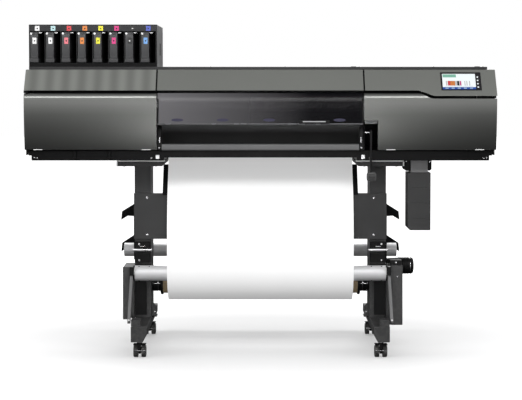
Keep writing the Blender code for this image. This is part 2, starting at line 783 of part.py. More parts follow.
def build_pinch_bar():
    """A bar with fingers that press the media on the grit roller."""
    pivot_y, pivot_z = PINCH_PIVOT
    half = WEB_HALF + 0.004
    low = (-half, pivot_y - 0.014, pivot_z - 0.010)
    high = (half, pivot_y + 0.008, pivot_z + 0.012)
    bar = piece("pinch_bar", block(low, high), BLACK_METAL, (0.0, *PINCH_PIVOT))
    centre = (GRIT_CENTRE[0], WEB_TOP + GAP + PINCH_RADIUS)
    finger = arc(centre, PINCH_RADIUS, math.radians(285), math.radians(105), 9)
    finger += [(pivot_y - 0.004, pivot_z + 0.006), (pivot_y - 0.004, pivot_z - 0.006)]
    reach = half - PINCH_WIDTH
    for i in range(PINCH_COUNT):
        x = -reach + 2 * reach * i / (PINCH_COUNT - 1)
        join(bar, prism(finger, "X", x - PINCH_WIDTH / 2, x + PINCH_WIDTH / 2))


def web_fall():
    """The front run of the media below the plates, as (y, z) points."""
    face = TUBE_Y - TUBE_RADIUS
    upper = [(y, STAND_HEIGHT - below) for y, below in WEB_UPPER]
    return upper + [(face - ahead, TUBE_Z + above) for ahead, above in WEB_LOWER]


def web_front_line():
    """The front run of the media, from the platen's edge down to the dancer tube."""
    start = (PLATEN_FRONT - 0.002, WEB_BOTTOM - BEND_RADIUS)
    bend = arc(start, BEND_RADIUS, math.pi / 2, math.radians(170), 6)
    return bend + web_fall()


def build_apron():
    """The curved black sheet behind the media, under the machine."""
    top = STAND_HEIGHT - PLATE_THICKNESS - GAP
    bottom = STAND_HEIGHT - APRON_BOTTOM_BELOW
    (y1, z1), (y2, z2) = web_fall()[:2]
    slope = (y1 - y2) / (z1 - z2)
    line = [
        (y2 + (bottom - z2) * slope + APRON_BEHIND, bottom),
        (y1 + APRON_BEHIND, z1),
        (y1 + APRON_BEHIND + APRON_CURL, top),
    ]
    outline = sheet_outline(line, -SHEET)
    piece("apron", prism(outline, "X", -APRON_HALF, APRON_HALF), BLACK_METAL)


def build_rail_and_carriages():
    back = RAIL_FRONT + RAIL_DEPTH
    middle = (RAIL_BOTTOM + RAIL_TOP) / 2
    outline = [
        (RAIL_FRONT, RAIL_BOTTOM),
        (back, RAIL_BOTTOM),
        (back, RAIL_TOP),
        (RAIL_FRONT, RAIL_TOP),
        (RAIL_FRONT, middle + 0.016),
        (RAIL_FRONT + RAIL_GROOVE, middle + 0.010),
        (RAIL_FRONT + RAIL_GROOVE, middle - 0.010),
        (RAIL_FRONT, middle - 0.016),
    ]
    end = SIDE_INNER - GAP
    piece("guide_rail", prism(outline, "X", -end, end), SILVER)
    back = RAIL_FRONT - CARRIAGE_CLEARANCE
    bottom = PLATEN_TOP + CARRIAGE_LIFT
    top = bottom + CARRIAGE_HEIGHT
    outline = [
        (back, RAIL_BOTTOM - 0.010),
        (back, top),
        (back - 0.07, top),
        (CARRIAGE_FRONT, top - 0.045),
        (CARRIAGE_FRONT, bottom + 0.02),
        (CARRIAGE_FRONT + 0.02, bottom),
        (back - 0.02, bottom),
    ]
    widths = {"print_carriage": PRINT_CARRIAGE_WIDTH, "cutting_carriage": CUTTING_CARRIAGE_WIDTH}
    right = SIDE_OUTER - CARRIAGE_PARK + PRINT_CARRIAGE_WIDTH / 2
    for name, width in widths.items():
        shape = prism(outline, "X", right - width, right)
        piece(name, shape, BLACK_PLASTIC, (right - width / 2, back, middle))
        right -= width + CARRIAGE_SPACING


def build_loading_lever():
    """A lever in the notch of the right cover, with a pin, a bent arm and a grip."""
    pivot_y, pivot_z = LEVER_PIVOT
    front = LEVER_FRONT
    half = LEVER_THICKNESS / 2
    grip_bottom = COVER_BOTTOM - GRIP_BELOW
    outline = arc(LEVER_PIVOT, LEVER_BOSS, math.radians(-70), math.radians(100), 7)
    outline += [
        (front + 0.008, pivot_z + LEVER_BOSS),
        (front, pivot_z + 0.004),
        (front, grip_bottom + 0.01),
        (front + LEVER_DEPTH, grip_bottom + 0.01),
        (front + LEVER_DEPTH, pivot_z - 0.030),
    ]
    shape = prism(outline, "X", LEVER_X - half, LEVER_X + half)
    lever = piece("loading_lever", shape, BLACK_PLASTIC, (LEVER_X, pivot_y, pivot_z))
    left = LEVER_X + GRIP_SHIFT - GRIP_WIDTH / 2
    middle = front + LEVER_DEPTH / 2
    low = (left, middle - GRIP_DEPTH / 2, grip_bottom)
    high = (left + GRIP_WIDTH, middle + GRIP_DEPTH / 2, grip_bottom + GRIP_HEIGHT)
    join(lever, block(low, high))
    pin = MODULE_INNER + SEAM + UPRIGHT_THICKNESS + GAP
    join(lever, turned([(pin, LEVER_PIN), (LEVER_X, LEVER_PIN)], LEVER_PIVOT, 12))


def build_ink_rack():
    """A rack of open bays, with a cartridge at the left of each."""
    low = (RACK_LEFT, RACK_FRONT, RACK_BOTTOM)
    high = (RACK_LEFT + RACK_WIDTH, RACK_FRONT + RACK_DEPTH, RACK_BOTTOM + RACK_HEIGHT)
    rack = piece("ink_rack", block(low, high), BLACK_PLASTIC)
    top = CARTRIDGE_BOTTOM + CARTRIDGE_HEIGHT
    for i in range(CARTRIDGES):
        start = RACK_LEFT + END_WALL + i * CARTRIDGE_PITCH
        end = start + CARTRIDGE_PITCH - BAY_WALL
        low = (start, RACK_FRONT - 0.01, CARTRIDGE_BOTTOM - BAY_CLEARANCE)
        high = (end, RACK_FRONT + CARTRIDGE_DEPTH + BAY_CLEARANCE, top + BAY_CLEARANCE)
        cut(rack, block(low, high))
        left = start + BAY_CLEARANCE
        low = (left, RACK_FRONT - 0.002, CARTRIDGE_BOTTOM)
        high = (left + CARTRIDGE_WIDTH, RACK_FRONT + CARTRIDGE_DEPTH, top)
        origin = (left + CARTRIDGE_WIDTH / 2, RACK_FRONT, (CARTRIDGE_BOTTOM + top) / 2)
        cartridge = piece(f"ink_cartridge_{i + 1}", block(low, high), GREY_PLASTIC, origin)
        ease(cartridge, 0.002)


def build_drain_bottle():
    left = SIDE_OUTER - DRAIN_FROM_SIDE
    right = left + DRAIN_WIDTH
    back = DRAIN_FRONT + DRAIN_DEPTH
    shoulder = TRAY_BOTTOM - DRAIN_BRACKET_HEIGHT
    bottom = shoulder - DRAIN_BOTTLE_HEIGHT
    outline = [
        (left + DRAIN_CHAMFER, bottom),
        (right, bottom),
        (right, shoulder - GAP),
        (left, shoulder - GAP),
        (left, bottom + DRAIN_CHAMFER),
    ]
    bottle = piece("drain_bottle", prism(outline, "Y", DRAIN_FRONT, back), FRAME_GREY)
    ease(bottle, 0.002)
    low = (left + DRAIN_EAR, DRAIN_FRONT + 0.001, shoulder)
    high = (right - DRAIN_EAR, back, TRAY_BOTTOM - GAP)
    ease(piece("drain_bracket", block(low, high), GREY_PLASTIC), 0.002)


def build_take_up():
    """The roll that winds the media, its hubs, the side boxes and the motor."""
    centre = (ROLL_Y, ROLL_Z)
    profile = [
        (-CORE_HALF, CORE_RADIUS),
        (-WEB_HALF, CORE_RADIUS),
        (-WEB_HALF, ROLL_RADIUS),
        (WEB_HALF, ROLL_RADIUS),
        (WEB_HALF, CORE_RADIUS),
        (CORE_HALF, CORE_RADIUS),
    ]
    roll = piece("take_up_roll", turned(profile, centre, FINE_ROUND), PAPER, (0.0, *centre))
    smooth(roll)
    for name, side in SIDES.items():
        start = CORE_HALF + GAP
        profile = [
            (side * start, HUB_FLANGE),
            (side * (start + HUB_FLANGE_WIDTH), HUB_FLANGE),
            (side * (start + HUB_FLANGE_WIDTH), HUB_RADIUS),
            (side * (LEG_INNER - HUB_CLEARANCE), HUB_RADIUS),
        ]
        hub = piece(f"take_up_{name}_hub", turned(profile, centre), BLACK_PLASTIC, (0.0, *centre))
        smooth(hub)
        box = BOXES[name]
        against = LEG_OUTER + GAP
        inner = LEG_OUTER + ARM_CLEARANCE + ARM_THICKNESS + BOX_CLEARANCE
        outer = inner + box["width"]
        back = BOX_FRONT + box["depth"]
        outline = [
            (side * inner, BOX_FRONT),
            (side * outer, BOX_FRONT),
            (side * outer, back),
            (side * against, back),
            (side * against, BOX_FOOT_FRONT),
            (side * inner, BOX_FOOT_FRONT),
        ]
        shape = prism(outline, "Z", box["bottom"], box["bottom"] + box["height"])
        ease(piece(f"take_up_{name}_box", shape, FRAME_GREY), 0.0015)
    start = LEG_OUTER + REAR_PLATE + 2 * GAP
    end = start + MOTOR_LENGTH
    profile = [
        (start, MOTOR_RADIUS),
        (end - 0.008, MOTOR_RADIUS),
        (end, MOTOR_RADIUS - 0.006),
    ]
    motor = piece("take_up_motor", turned(profile, (MOTOR_Y, MOTOR_Z)), BLACK_PLASTIC)
    smooth(motor)


def build_dancer():
    """The tube that tensions the media, on two arms that pivot on the feet."""
    arm_inner = LEG_OUTER + ARM_CLEARANCE
    end = arm_inner - GAP
    centre = (TUBE_Y, TUBE_Z)
    pivot = (0.0, *ARM_PIVOT)
    profile = [
        (-end, TUBE_RADIUS - 0.001),
        (-end + 0.001, TUBE_RADIUS),
        (end - 0.001, TUBE_RADIUS),
        (end, TUBE_RADIUS - 0.001),
    ]
    smooth(piece("dancer_tube", turned(profile, centre, FINE_ROUND), SILVER, pivot))
    lean = math.atan2(TUBE_Z - ARM_PIVOT[1], TUBE_Y - ARM_PIVOT[0])
    half = ARM_WIDTH / 2
    spread = math.asin(half / ARM_BOSS)
    outline = arc(ARM_PIVOT, half, lean + math.pi / 2, lean + 1.5 * math.pi, 7)
    outline += arc(centre, ARM_BOSS, lean + math.pi + spread, lean + 3 * math.pi - spread, 15)
    for name, side in SIDES.items():
        ends = sorted((side * arm_inner, side * (arm_inner + ARM_THICKNESS)))
        arm = piece(f"dancer_{name}_arm", prism(outline, "X", *ends), FRAME_GREY, pivot)
        ease(arm, 0.0015)


def build_rear_holders():
    """Two brackets behind the legs, the rear tube, and the supply roll between them."""
    tube = (REAR_TUBE_Y, REAR_TUBE_Z)
    supply = (SUPPLY_Y, SUPPLY_Z)
    back = DEPTH / 2
    for name, side in SIDES.items():
        inner = LEG_OUTER + GAP
        ends = sorted((side * inner, side * (inner + REAR_PLATE)))
        low_arm = FINS[0][1] - REAR_ARM_HEIGHT
        high_arm = FINS[1][1] - REAR_ARM_HEIGHT
        front = LEG_BACK - REAR_SPINE[0]
        spine = LEG_BACK + REAR_SPINE[1]
        outline = [
            (front, low_arm),
            (back - FIN_DEPTH / 2, low_arm),
            (back - FIN_DEPTH / 2, FINS[0][1]),
            (spine, FINS[0][1]),
            (spine, high_arm),
            (back - FIN_DEPTH / 2, high_arm),
            (back - FIN_DEPTH / 2, FINS[1][1]),
            (front, FINS[1][1]),
        ]
        bracket = piece(f"rear_{name}_bracket", prism(outline, "X", *ends), BLACK_METAL)
        boss = circle(tube, REAR_TUBE_RADIUS + REAR_BOSS_WALL, 20)
        join(bracket, prism(boss, "X", *ends))
        join(bracket, prism(circle(supply, SUPPLY_BOSS, 20), "X", *ends))
        hole = circle(tube, REAR_TUBE_RADIUS + 2 * GAP, ROUND)
        cut(bracket, prism(hole, "X", ends[0] - 0.01, ends[1] + 0.01))
        for low, high in FINS:
            fin = [
                (side * inner, low + (high - low) * 0.18),
                (side * (inner + FIN_REACH * 0.72), low + (high - low) * 0.25),
                (side * (inner + FIN_REACH), low),
                (side * (inner + FIN_REACH - 0.004), low + (high - low) * 0.52),
                (side * (inner + FIN_REACH * 0.45), high),
                (side * inner, high),
            ]
            join(bracket, prism(fin, "Y", back - FIN_DEPTH, back))
    end = LEG_OUTER + REAR_TUBE_PAST_LEG
    profile = [(-end, REAR_TUBE_RADIUS), (end, REAR_TUBE_RADIUS)]
    smooth(piece("rear_tube", turned(profile, tube), SILVER))
    shaft = LEG_OUTER
    profile = [
        (-shaft, SUPPLY_SHAFT),
        (-CORE_HALF, SUPPLY_SHAFT),
        (-CORE_HALF, CORE_RADIUS),
        (-WEB_HALF, CORE_RADIUS),
        (-WEB_HALF, SUPPLY_RADIUS),
        (WEB_HALF, SUPPLY_RADIUS),
        (WEB_HALF, CORE_RADIUS),
        (CORE_HALF, CORE_RADIUS),
        (CORE_HALF, SUPPLY_SHAFT),
        (shaft, SUPPLY_SHAFT),
    ]
    roll = piece("supply_roll", turned(profile, supply, FINE_ROUND), PAPER, (0.0, *supply))
    smooth(roll)


def build_media():
    """One sheet from the supply roll, over the platen, down the front and round to the take-up."""
    bend_centre = (REAR_BEND_Y, WEB_BOTTOM - BEND_RADIUS)
    facets = 1 / math.cos(math.pi / FINE_ROUND)
    start = tangent((SUPPLY_Y, SUPPLY_Z), SUPPLY_RADIUS * facets + GAP, bend_centre, -1)
    run = Vector(start) - Vector(bend_centre)
    meet = math.atan2(run.y, run.x) + math.pi / 2
    meet = max(meet, math.radians(10))
    rear = arc(bend_centre, BEND_RADIUS, meet, math.pi / 2, 5)
    line = [start, *rear, *web_front_line()]
    lowest = ROLL_Z - ROLL_RADIUS - GAP - WEB_THICKNESS
    lower = web_fall()[-1]
    front = lower[0] - LOOP_BULGE
    loop_centre = (ROLL_Y, lower[1] - LOOP_DROP)
    for i in range(9):
        angle = math.pi / 2 * i / 8
        y = loop_centre[0] + (front - loop_centre[0]) * math.cos(angle)
        z = loop_centre[1] + (lowest - loop_centre[1]) * math.sin(angle)
        line.append((y, z))
    outline = sheet_outline(line, -WEB_THICKNESS)
    piece("media_web", prism(outline, "X", -WEB_HALF, WEB_HALF), PAPER)


def main():
    for thing in list(bpy.data.objects):
        bpy.data.objects.remove(thing, do_unlink=True)
    for name, side in SIDES.items():
        build_foot(name, side)
        build_leg(name, side)
        for end, y in CASTER_Y.items():
            build_caster(f"{end}_{name}", side * LEG_X, y)
    build_cross_panel()
    build_chassis()
    build_front_covers()
    build_upper_panels()
    build_screen()
    build_casing()
    build_window()
    build_media_path()
    build_rail_and_carriages()
    build_loading_lever()
    build_ink_rack()
    build_drain_bottle()
    build_take_up()
    build_dancer()
    build_rear_holders()
    build_media()


main()
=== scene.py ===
import math

import bmesh
import bpy
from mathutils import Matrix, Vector


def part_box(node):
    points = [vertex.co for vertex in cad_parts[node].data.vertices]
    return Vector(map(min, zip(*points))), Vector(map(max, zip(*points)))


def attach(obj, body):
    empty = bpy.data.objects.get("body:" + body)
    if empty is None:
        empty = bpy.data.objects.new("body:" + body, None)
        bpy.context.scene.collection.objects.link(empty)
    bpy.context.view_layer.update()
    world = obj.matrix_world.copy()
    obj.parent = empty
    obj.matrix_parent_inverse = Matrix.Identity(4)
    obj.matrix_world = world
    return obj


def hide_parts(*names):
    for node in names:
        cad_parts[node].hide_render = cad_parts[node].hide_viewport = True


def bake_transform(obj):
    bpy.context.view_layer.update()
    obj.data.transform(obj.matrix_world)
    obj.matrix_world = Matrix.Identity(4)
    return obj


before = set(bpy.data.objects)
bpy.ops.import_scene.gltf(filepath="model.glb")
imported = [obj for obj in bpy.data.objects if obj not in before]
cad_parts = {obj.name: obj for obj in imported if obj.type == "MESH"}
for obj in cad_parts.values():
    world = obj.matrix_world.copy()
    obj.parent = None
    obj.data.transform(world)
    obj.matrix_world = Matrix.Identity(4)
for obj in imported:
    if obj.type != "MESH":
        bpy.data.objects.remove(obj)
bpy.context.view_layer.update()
sides = {"left": -1, "right": 1}
smoothAngle = math.radians(38)
print("frame loaded", len(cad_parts), "nodes")


# node tools

def fill(tree, node, inputs):
    # an input takes a number, a colour or the output of another node
    for name, value in inputs.items():
        if isinstance(value, bpy.types.NodeSocket):
            tree.links.new(value, node.inputs[name])
        else:
            node.inputs[name].default_value = value


def addNode(tree, kind, inputs, output=0, **options):
    node = tree.nodes.new("ShaderNode" + kind)
    for name, value in options.items():
        setattr(node, name, value)
    fill(tree, node, inputs)
    return node.outputs[output]


def ranged(tree, value, low, high, fromLow=0.3, fromHigh=0.7):
    return addNode(tree, "MapRange", {"Value": value, "From Min": fromLow, "From Max": fromHigh,
                                      "To Min": low, "To Max": high})


def greyRamp(tree, share, stops, blue=1.0):
    # stops are (position, brightness)
    output = addNode(tree, "ValToRGB", {"Fac": share})
    elements = output.node.color_ramp.elements
    for _ in stops[1:-1]:
        elements.new(0.5)
    for element, (place, value) in zip(elements, stops):
        element.position = place
        element.color = (value, value, value * blue, 1.0)
    return output


# camera, floor and light
cameraSettings = {"place": (0.0, -6.255, 1.104), "lens": 101.72, "shiftX": 0.0013, "shiftY": -0.1000,
                  "tilt": 2.515}
lightSettings = {
    "overhead": {"place": (0.0, 1.0, 2.7), "aim": (0.0, 0.0, 1.0), "size": (4.2, 0.5), "power": 35.0},
    "front": {"place": (0.0, -3.0, 2.55), "aim": (0.0, -0.35, 1.0), "size": (4.6, 0.60), "power": 62.0},
    "low": {"place": (0.0, -2.7, 0.30), "aim": (0.0, 0.0, 0.62), "size": (0.9, 0.35), "power": 16.0},
    "leftStrip": {"place": (-2.9, -1.6, 1.5), "aim": (0.0, 0.0, 0.7), "size": (0.8, 2.2), "power": 22.0},
    "rightStrip": {"place": (2.9, -1.6, 1.5), "aim": (0.0, 0.0, 0.7), "size": (0.8, 2.2), "power": 18.0},
    "behind": {"place": (0.0, 3.2, 2.6), "aim": (0.0, 0.0, 0.7), "size": (3.5, 1.6), "power": 75.0},
}
worldSettings = {
    "strength": 0.85,
    "blue": 1.01,
    "stops": ((0.0, 0.02), (0.38, 0.03), (0.45, 0.12), (0.50, 0.50), (0.56, 0.78), (0.78, 0.75),
              (0.93, 0.32),
              (1.0, 0.3)),
}
floorSettings = {"half": 24.0, "grey": 0.6, "shadeCentre": 0.2, "shadeWidth": 2.0, "glowFrom": 0.45,
                 "glowTo": 1.9,
                 "paintedShadowGlow": 0.25, "glowHigh": 1.0}


def makeCamera(settings):
    data = bpy.data.cameras.new("camera")
    data.lens = settings["lens"]
    data.shift_x = settings["shiftX"]
    data.shift_y = settings["shiftY"]
    data.clip_end = 60.0
    camera = bpy.data.objects.new("camera", data)
    camera.location = settings["place"]
    camera.rotation_euler = (math.radians(90 - settings["tilt"]), 0.0, 0.0)
    bpy.context.scene.collection.objects.link(camera)
    bpy.context.scene.camera = camera


def makeLights(settings):
    for name, light in settings.items():
        data = bpy.data.lights.new(name, "AREA")
        data.shape = "RECTANGLE"
        data.size, data.size_y = light["size"]
        data.energy = light["power"]
        lamp = bpy.data.objects.new(name, data)
        lamp.location = light["place"]
        aim = Vector(light["aim"]) - Vector(light["place"])
        lamp.rotation_euler = aim.to_track_quat("-Z", "Y").to_euler()
        bpy.context.scene.collection.objects.link(lamp)


def makeWorld(settings):
    # the object is lit by a grey sky that changes with height, and stands before plain white
    world = bpy.data.worlds.new("studio")
    bpy.context.scene.world = world
    world.use_nodes = True
    tree = world.node_tree
    facing = addNode(tree, "TexCoord", {}, "Generated")
    height = ranged(tree, addNode(tree, "SeparateXYZ", {0: facing}, "Z"), 0.0, 1.0, -1.0, 1.0)
    sky = tree.nodes["Background"]
    fill(tree, sky, {"Color": greyRamp(tree, height, settings["stops"], settings["blue"]),
                     "Strength": settings["strength"]})
    plain = addNode(tree, "Background", {"Color": (1.0, 1.0, 1.0, 1.0)})
    seen = addNode(tree, "LightPath", {}, "Is Camera Ray")
    choose = addNode(tree, "MixShader", {0: seen, 1: sky.outputs[0], 2: plain})
    fill(tree, tree.nodes["World Output"], {0: choose})


def makeFloor(settings):
    data = bpy.data.materials.new("studioFloor")
    data.use_nodes = True
    tree = data.node_tree
    # the floor glows more away from the object: a painted shadow under it, on top of the soft shadow the
    # lamps cast
    spot = addNode(tree, "Mapping", {0: addNode(tree, "TexCoord", {}, "Object"),
                                     "Location": (0.0, -settings["shadeCentre"], 0.0),
                                     "Scale": (1.0 / settings["shadeWidth"], 1.0, 0.0)})
    away = addNode(tree, "VectorMath", {0: spot}, "Value", operation="LENGTH")
    floorGlowWithPaintedShadow = ranged(tree, away, settings["paintedShadowGlow"], settings["glowHigh"], settings["glowFrom"],
                       settings["glowTo"])
    fill(tree, tree.nodes["Principled BSDF"], {
        "Base Color": (settings["grey"], settings["grey"], settings["grey"], 1.0), "Roughness": 0.9,
        "Specular IOR Level": 0.0, "Emission Color": (1.0, 1.0, 1.0, 1.0), "Emission Strength": floorGlowWithPaintedShadow,
    })
    half = settings["half"]
    mesh = bpy.data.meshes.new("studioFloor")
    corners = [(-half, -half, 0.0), (half, -half, 0.0), (half, half, 0.0), (-half, half, 0.0)]
    mesh.from_pydata(corners, [], [(0, 1, 2, 3)])
    mesh.materials.append(data)
    floor = bpy.data.objects.new("studioFloor", mesh)
    bpy.context.scene.collection.objects.link(floor)
    floor.visible_diffuse = False
    floor.visible_glossy = False


bpy.context.scene.view_settings.view_transform = "Standard"
makeCamera(cameraSettings)
makeLights(lightSettings)
makeWorld(worldSettings)
makeFloor(floorSettings)
print("camera, light and floor ready")


# finishes
flake = {"scale": 900.0, "colour": (0.8, 0.82, 0.8), "most": 0.16, "share": 0.35}
orangePeel = {"scale": 260.0, "strength": 0.06, "depth": 0.0003}
band = {"period": 0.0645, "first": 0.793375, "dark": 0.4}
dustLook = {"colour": (0.32, 0.31, 0.29), "most": 0.45, "scale": 90.0}
smoke = {"left": -0.41, "right": 0.20, "paintedReflection": (0.145, 0.141, 0.149), "deep": (0.002, 0.002, 0.003),
         "alpha": 0.86}


def objectPlace(tree):
    return addNode(tree, "TexCoord", {}, "Object")


def alongAxis(tree, axis):
    return addNode(tree, "SeparateXYZ", {0: objectPlace(tree)}, axis)


def noise(tree, scale, detail=3.0, stretch=None):
    place = objectPlace(tree)
    if stretch:
        place = addNode(tree, "Mapping", {0: place, "Scale": stretch})
    return addNode(tree, "TexNoise", {"Vector": place, "Scale": scale, "Detail": detail}, "Fac")


def blended(tree, factor, first, second, kind="MIX"):
    ends = [end if isinstance(end, bpy.types.NodeSocket) else (*end, 1.0) for end in (first, second)]
    return addNode(tree, "Mix", {"Factor": factor, 6: ends[0], 7: ends[1]}, 2, data_type="RGBA",
                   blend_type=kind)


def computed(tree, operation, first, second=0.0):
    return addNode(tree, "Math", {0: first, 1: second}, operation=operation)


def bumped(tree, height, strength, depth):
    return addNode(tree, "Bump", {"Height": height, "Strength": strength, "Distance": depth})


def shaderOf(made):
    return made.node_tree.nodes["Principled BSDF"]


def surface(name, colour, rough, metal=0.0, tone=0.08, toneSize=0.2, spread=0.06, grain=0.15,
            grainSize=0.0012, brush=None, coat=0.0, specular=0.5, dust=0.0):
    # a finish with uneven tone and sheen, a fine grain or brushed lines, and dust towards the floor
    made = bpy.data.materials.new(name)
    made.use_nodes = True
    tree = made.node_tree
    dark = tuple(c * (1 - tone) for c in colour)
    light = tuple(min(c * (1 + tone), 1.0) for c in colour)
    base = blended(tree, ranged(tree, noise(tree, 1.0 / toneSize, 4.0), 0.0, 1.0), dark, light)
    if dust:
        low = ranged(tree, alongAxis(tree, "Z"), dust, 0.0, 0.0, dustLook["most"])
        speck = ranged(tree, noise(tree, dustLook["scale"], 6.0), 0.0, 1.0, 0.4, 0.75)
        base = blended(tree, computed(tree, "MULTIPLY", low, speck), base, dustLook["colour"])
    inputs = {"Base Color": base, "Roughness": rough, "Metallic": metal, "Coat Weight": coat,
              "Coat Roughness": 0.15, "Specular IOR Level": specular}
    if spread:
        patch = noise(tree, 14.0, 5.0)
        inputs["Roughness"] = ranged(tree, patch, max(rough - spread, 0.02), min(rough + spread, 1.0))
    if grain:
        fine = noise(tree, 1.0 / grainSize, 2.0, brush)
        inputs["Normal"] = bumped(tree, fine, grain, grainSize * 0.3)
    fill(tree, shaderOf(made), inputs)
    return made


def flakePaint(name, colour, rough, metal, stripes=0.0, fall=()):
    # metallic paint with fine glints. fall darkens it by height, which paints shade on it; stripes gives it
    # soft upright bands
    made = surface(name, colour, rough, metal, tone=0.05, toneSize=0.35, spread=0.0, grain=0.0)
    tree = made.node_tree
    plain = shaderOf(made).inputs["Base Color"].links[0].from_socket
    share = ranged(tree, noise(tree, flake["scale"], 1.0), 0.0, flake["most"], 0.35, 0.7)
    base = blended(tree, flake["share"], plain, blended(tree, share, colour, flake["colour"]))
    if fall:
        bottom, top = fall[0][0], fall[-1][0]
        height = ranged(tree, alongAxis(tree, "Z"), 0.0, 1.0, bottom, top)
        stops = [((place - bottom) / (top - bottom), value) for place, value in fall]
        base = blended(tree, 1.0, base, greyRamp(tree, height, stops), "MULTIPLY")
    if stripes:
        across = computed(tree, "ADD", alongAxis(tree, "X"), band["first"])
        wave = computed(tree, "SINE", computed(tree, "MULTIPLY", across, math.tau / band["period"]))
        shade = ranged(tree, wave, 0.0, stripes, -1.0, 1.0)
        base = blended(tree, shade, base, tuple(c * band["dark"] for c in colour))
    peel = bumped(tree, noise(tree, orangePeel["scale"], 2.0), orangePeel["strength"], orangePeel["depth"])
    fill(tree, shaderOf(made), {"Base Color": base, "Normal": peel})
    return made


def glowing(made, colour, strength):
    fill(made.node_tree, shaderOf(made), {"Emission Color": (*colour, 1.0), "Emission Strength": strength})
    return made


def paperFinish(name, colour, fibre, paintedLightGlow):
    made = surface(name, colour, 0.72, tone=0.015, toneSize=0.3, spread=0.05, grain=fibre, grainSize=0.0009,
                   brush=(1.0, 2.5, 2.5), specular=0.3)
    # painted light: the paper also glows by itself, which lifts it out of the shade under the machine
    return glowing(made, colour, paintedLightGlow)


def glow(name, colour, strength, rough=0.15):
    return glowing(surface(name, tuple(c * 0.5 for c in colour), rough, tone=0.05, grain=0.0), colour,
                   strength)


def smokedPlastic(name):
    # painted reflection: paler towards the left, where the bright side of a room would show in it
    made = surface(name, smoke["deep"], 0.2, spread=0.03, grain=0.0, specular=0.16)
    tree = made.node_tree
    across = ranged(tree, alongAxis(tree, "X"), 0.0, 1.0, smoke["left"], smoke["right"])
    base = blended(tree, across, smoke["paintedReflection"], smoke["deep"])
    fill(tree, shaderOf(made), {"Base Color": base, "Alpha": smoke["alpha"]})
    return made


standPaint = surface("standPaint", (0.026, 0.026, 0.0265), 0.5, tone=0.12, grain=0.5, grainSize=0.0011,
                     dust=0.1,
                     specular=0.35)
blackPaint = surface("blackPaint", (0.004, 0.004, 0.0042), 0.42, tone=0.15, grain=0.3, grainSize=0.0009,
                     specular=0.1)
panelPaint = flakePaint("panelPaint", (0.270, 0.278, 0.258), 0.34, 0.72)
bandedPaint = flakePaint("bandedPaint", (0.350, 0.360, 0.335), 0.34, 0.72, stripes=0.45)
# painted shade: the cover paint darkens towards the bottom of the covers
coverPaintedShade = ((0.845, 0.24), (0.919, 0.39), (0.977, 0.58), (1.024, 0.97), (1.045, 1.0))
coverPaintWithPaintedShade = flakePaint("coverPaintWithPaintedShade", (0.272, 0.277, 0.264), 0.3, 0.8, fall=coverPaintedShade)
casingPaint = surface("casingPaint", (0.024, 0.024, 0.0245), 0.45, tone=0.12, grain=0.4, grainSize=0.001,
                      specular=0.35)
blackPlastic = surface("blackPlastic", (0.006, 0.006, 0.0062), 0.48, tone=0.12, grain=0.45,
                       grainSize=0.0008,
                       specular=0.14)
glossBlack = surface("glossBlack", (0.008, 0.008, 0.009), 0.16, tone=0.1, grain=0.0, spread=0.04, coat=0.4)
greyPlastic = surface("greyPlastic", (0.088, 0.088, 0.09), 0.46, tone=0.06, grain=0.35, grainSize=0.0008)
cartridgePlastic = surface("cartridgePlastic", (0.031, 0.031, 0.033), 0.42, tone=0.1, grain=0.3,
                           grainSize=0.0007)
cartridgeFoot = surface("cartridgeFoot", (0.052, 0.052, 0.054), 0.45, tone=0.1, grain=0.3, grainSize=0.0007)
rackSide = surface("rackSide", (0.016, 0.0165, 0.017), 0.42, tone=0.06, grain=0.35, grainSize=0.0008)
bottlePlastic = surface("bottlePlastic", (0.015, 0.015, 0.0153), 0.5, tone=0.1, grain=0.4, grainSize=0.0009)
anodised = surface("anodised", (0.74, 0.74, 0.75), 0.3, 0.95, tone=0.04, spread=0.08, grain=0.25,
                   grainSize=0.0006, brush=(0.05, 1.0, 1.0))
tubeMetal = surface("tubeMetal", (0.72, 0.72, 0.73), 0.42, 0.3, tone=0.04, spread=0.08, grain=0.25,
                    grainSize=0.0006,
                    brush=(0.05, 1.0, 1.0))
steel = surface("steel", (0.62, 0.62, 0.63), 0.22, 1.0, tone=0.05, spread=0.08, grain=0.2, grainSize=0.0005)
brightPaint = surface("brightPaint", (0.9, 0.9, 0.9), 0.3, tone=0.03, grain=0.0)
# the media glows a little: painted light
mediaPaperPaintedLight = paperFinish("mediaPaperPaintedLight", (0.76, 0.76, 0.76), 0.12, 0.40)
kraftCore = paperFinish("kraftCore", (0.30, 0.23, 0.14), 0.35, 0.0)
tyreRubber = surface("tyreRubber", (0.022, 0.022, 0.022), 0.72, tone=0.15, grain=0.5, grainSize=0.0009,
                     dust=0.3)
smokedWindow = smokedPlastic("smokedWindow")
chipColours = {
    "white": (0.9, 0.9, 0.9), "cyan": (0.55, 0.78, 0.8), "red": (0.75, 0.08, 0.09), "orange": (0.8, 0.27,
                                                                                               0.07),
    "yellow": (0.92, 0.86, 0.06), "magenta": (0.72, 0.06, 0.25), "black": (0.03, 0.03, 0.03),
    "blue": (0.12, 0.16, 0.6), "pink": (0.85, 0.22, 0.26), "sky": (0.2, 0.42, 0.8), "silver": (0.7, 0.7,
                                                                                               0.7),
}
chips = {
    name: surface(name + "Label", colour, 0.32, tone=0.04, grain=0.1, grainSize=0.0008)
    for name, colour in chipColours.items()
}
print("finishes ready")


# shape tools

def outward(side):
    return "+X" if side > 0 else "-X"


def between(side, first, second):
    return sorted((side * first, side * second))


def flipped(side, profile):
    return [(side * along, across) for along, across in profile]


def bothEnds(profile):
    # a turned profile given from one end to the middle, with its mirror image
    return flipped(-1, profile) + profile[::-1]


def roundNode(name):
    low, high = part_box(name)
    return low, high, (0.0, (low.y + high.y) / 2, (low.z + high.z) / 2), (high.z - low.z) / 2


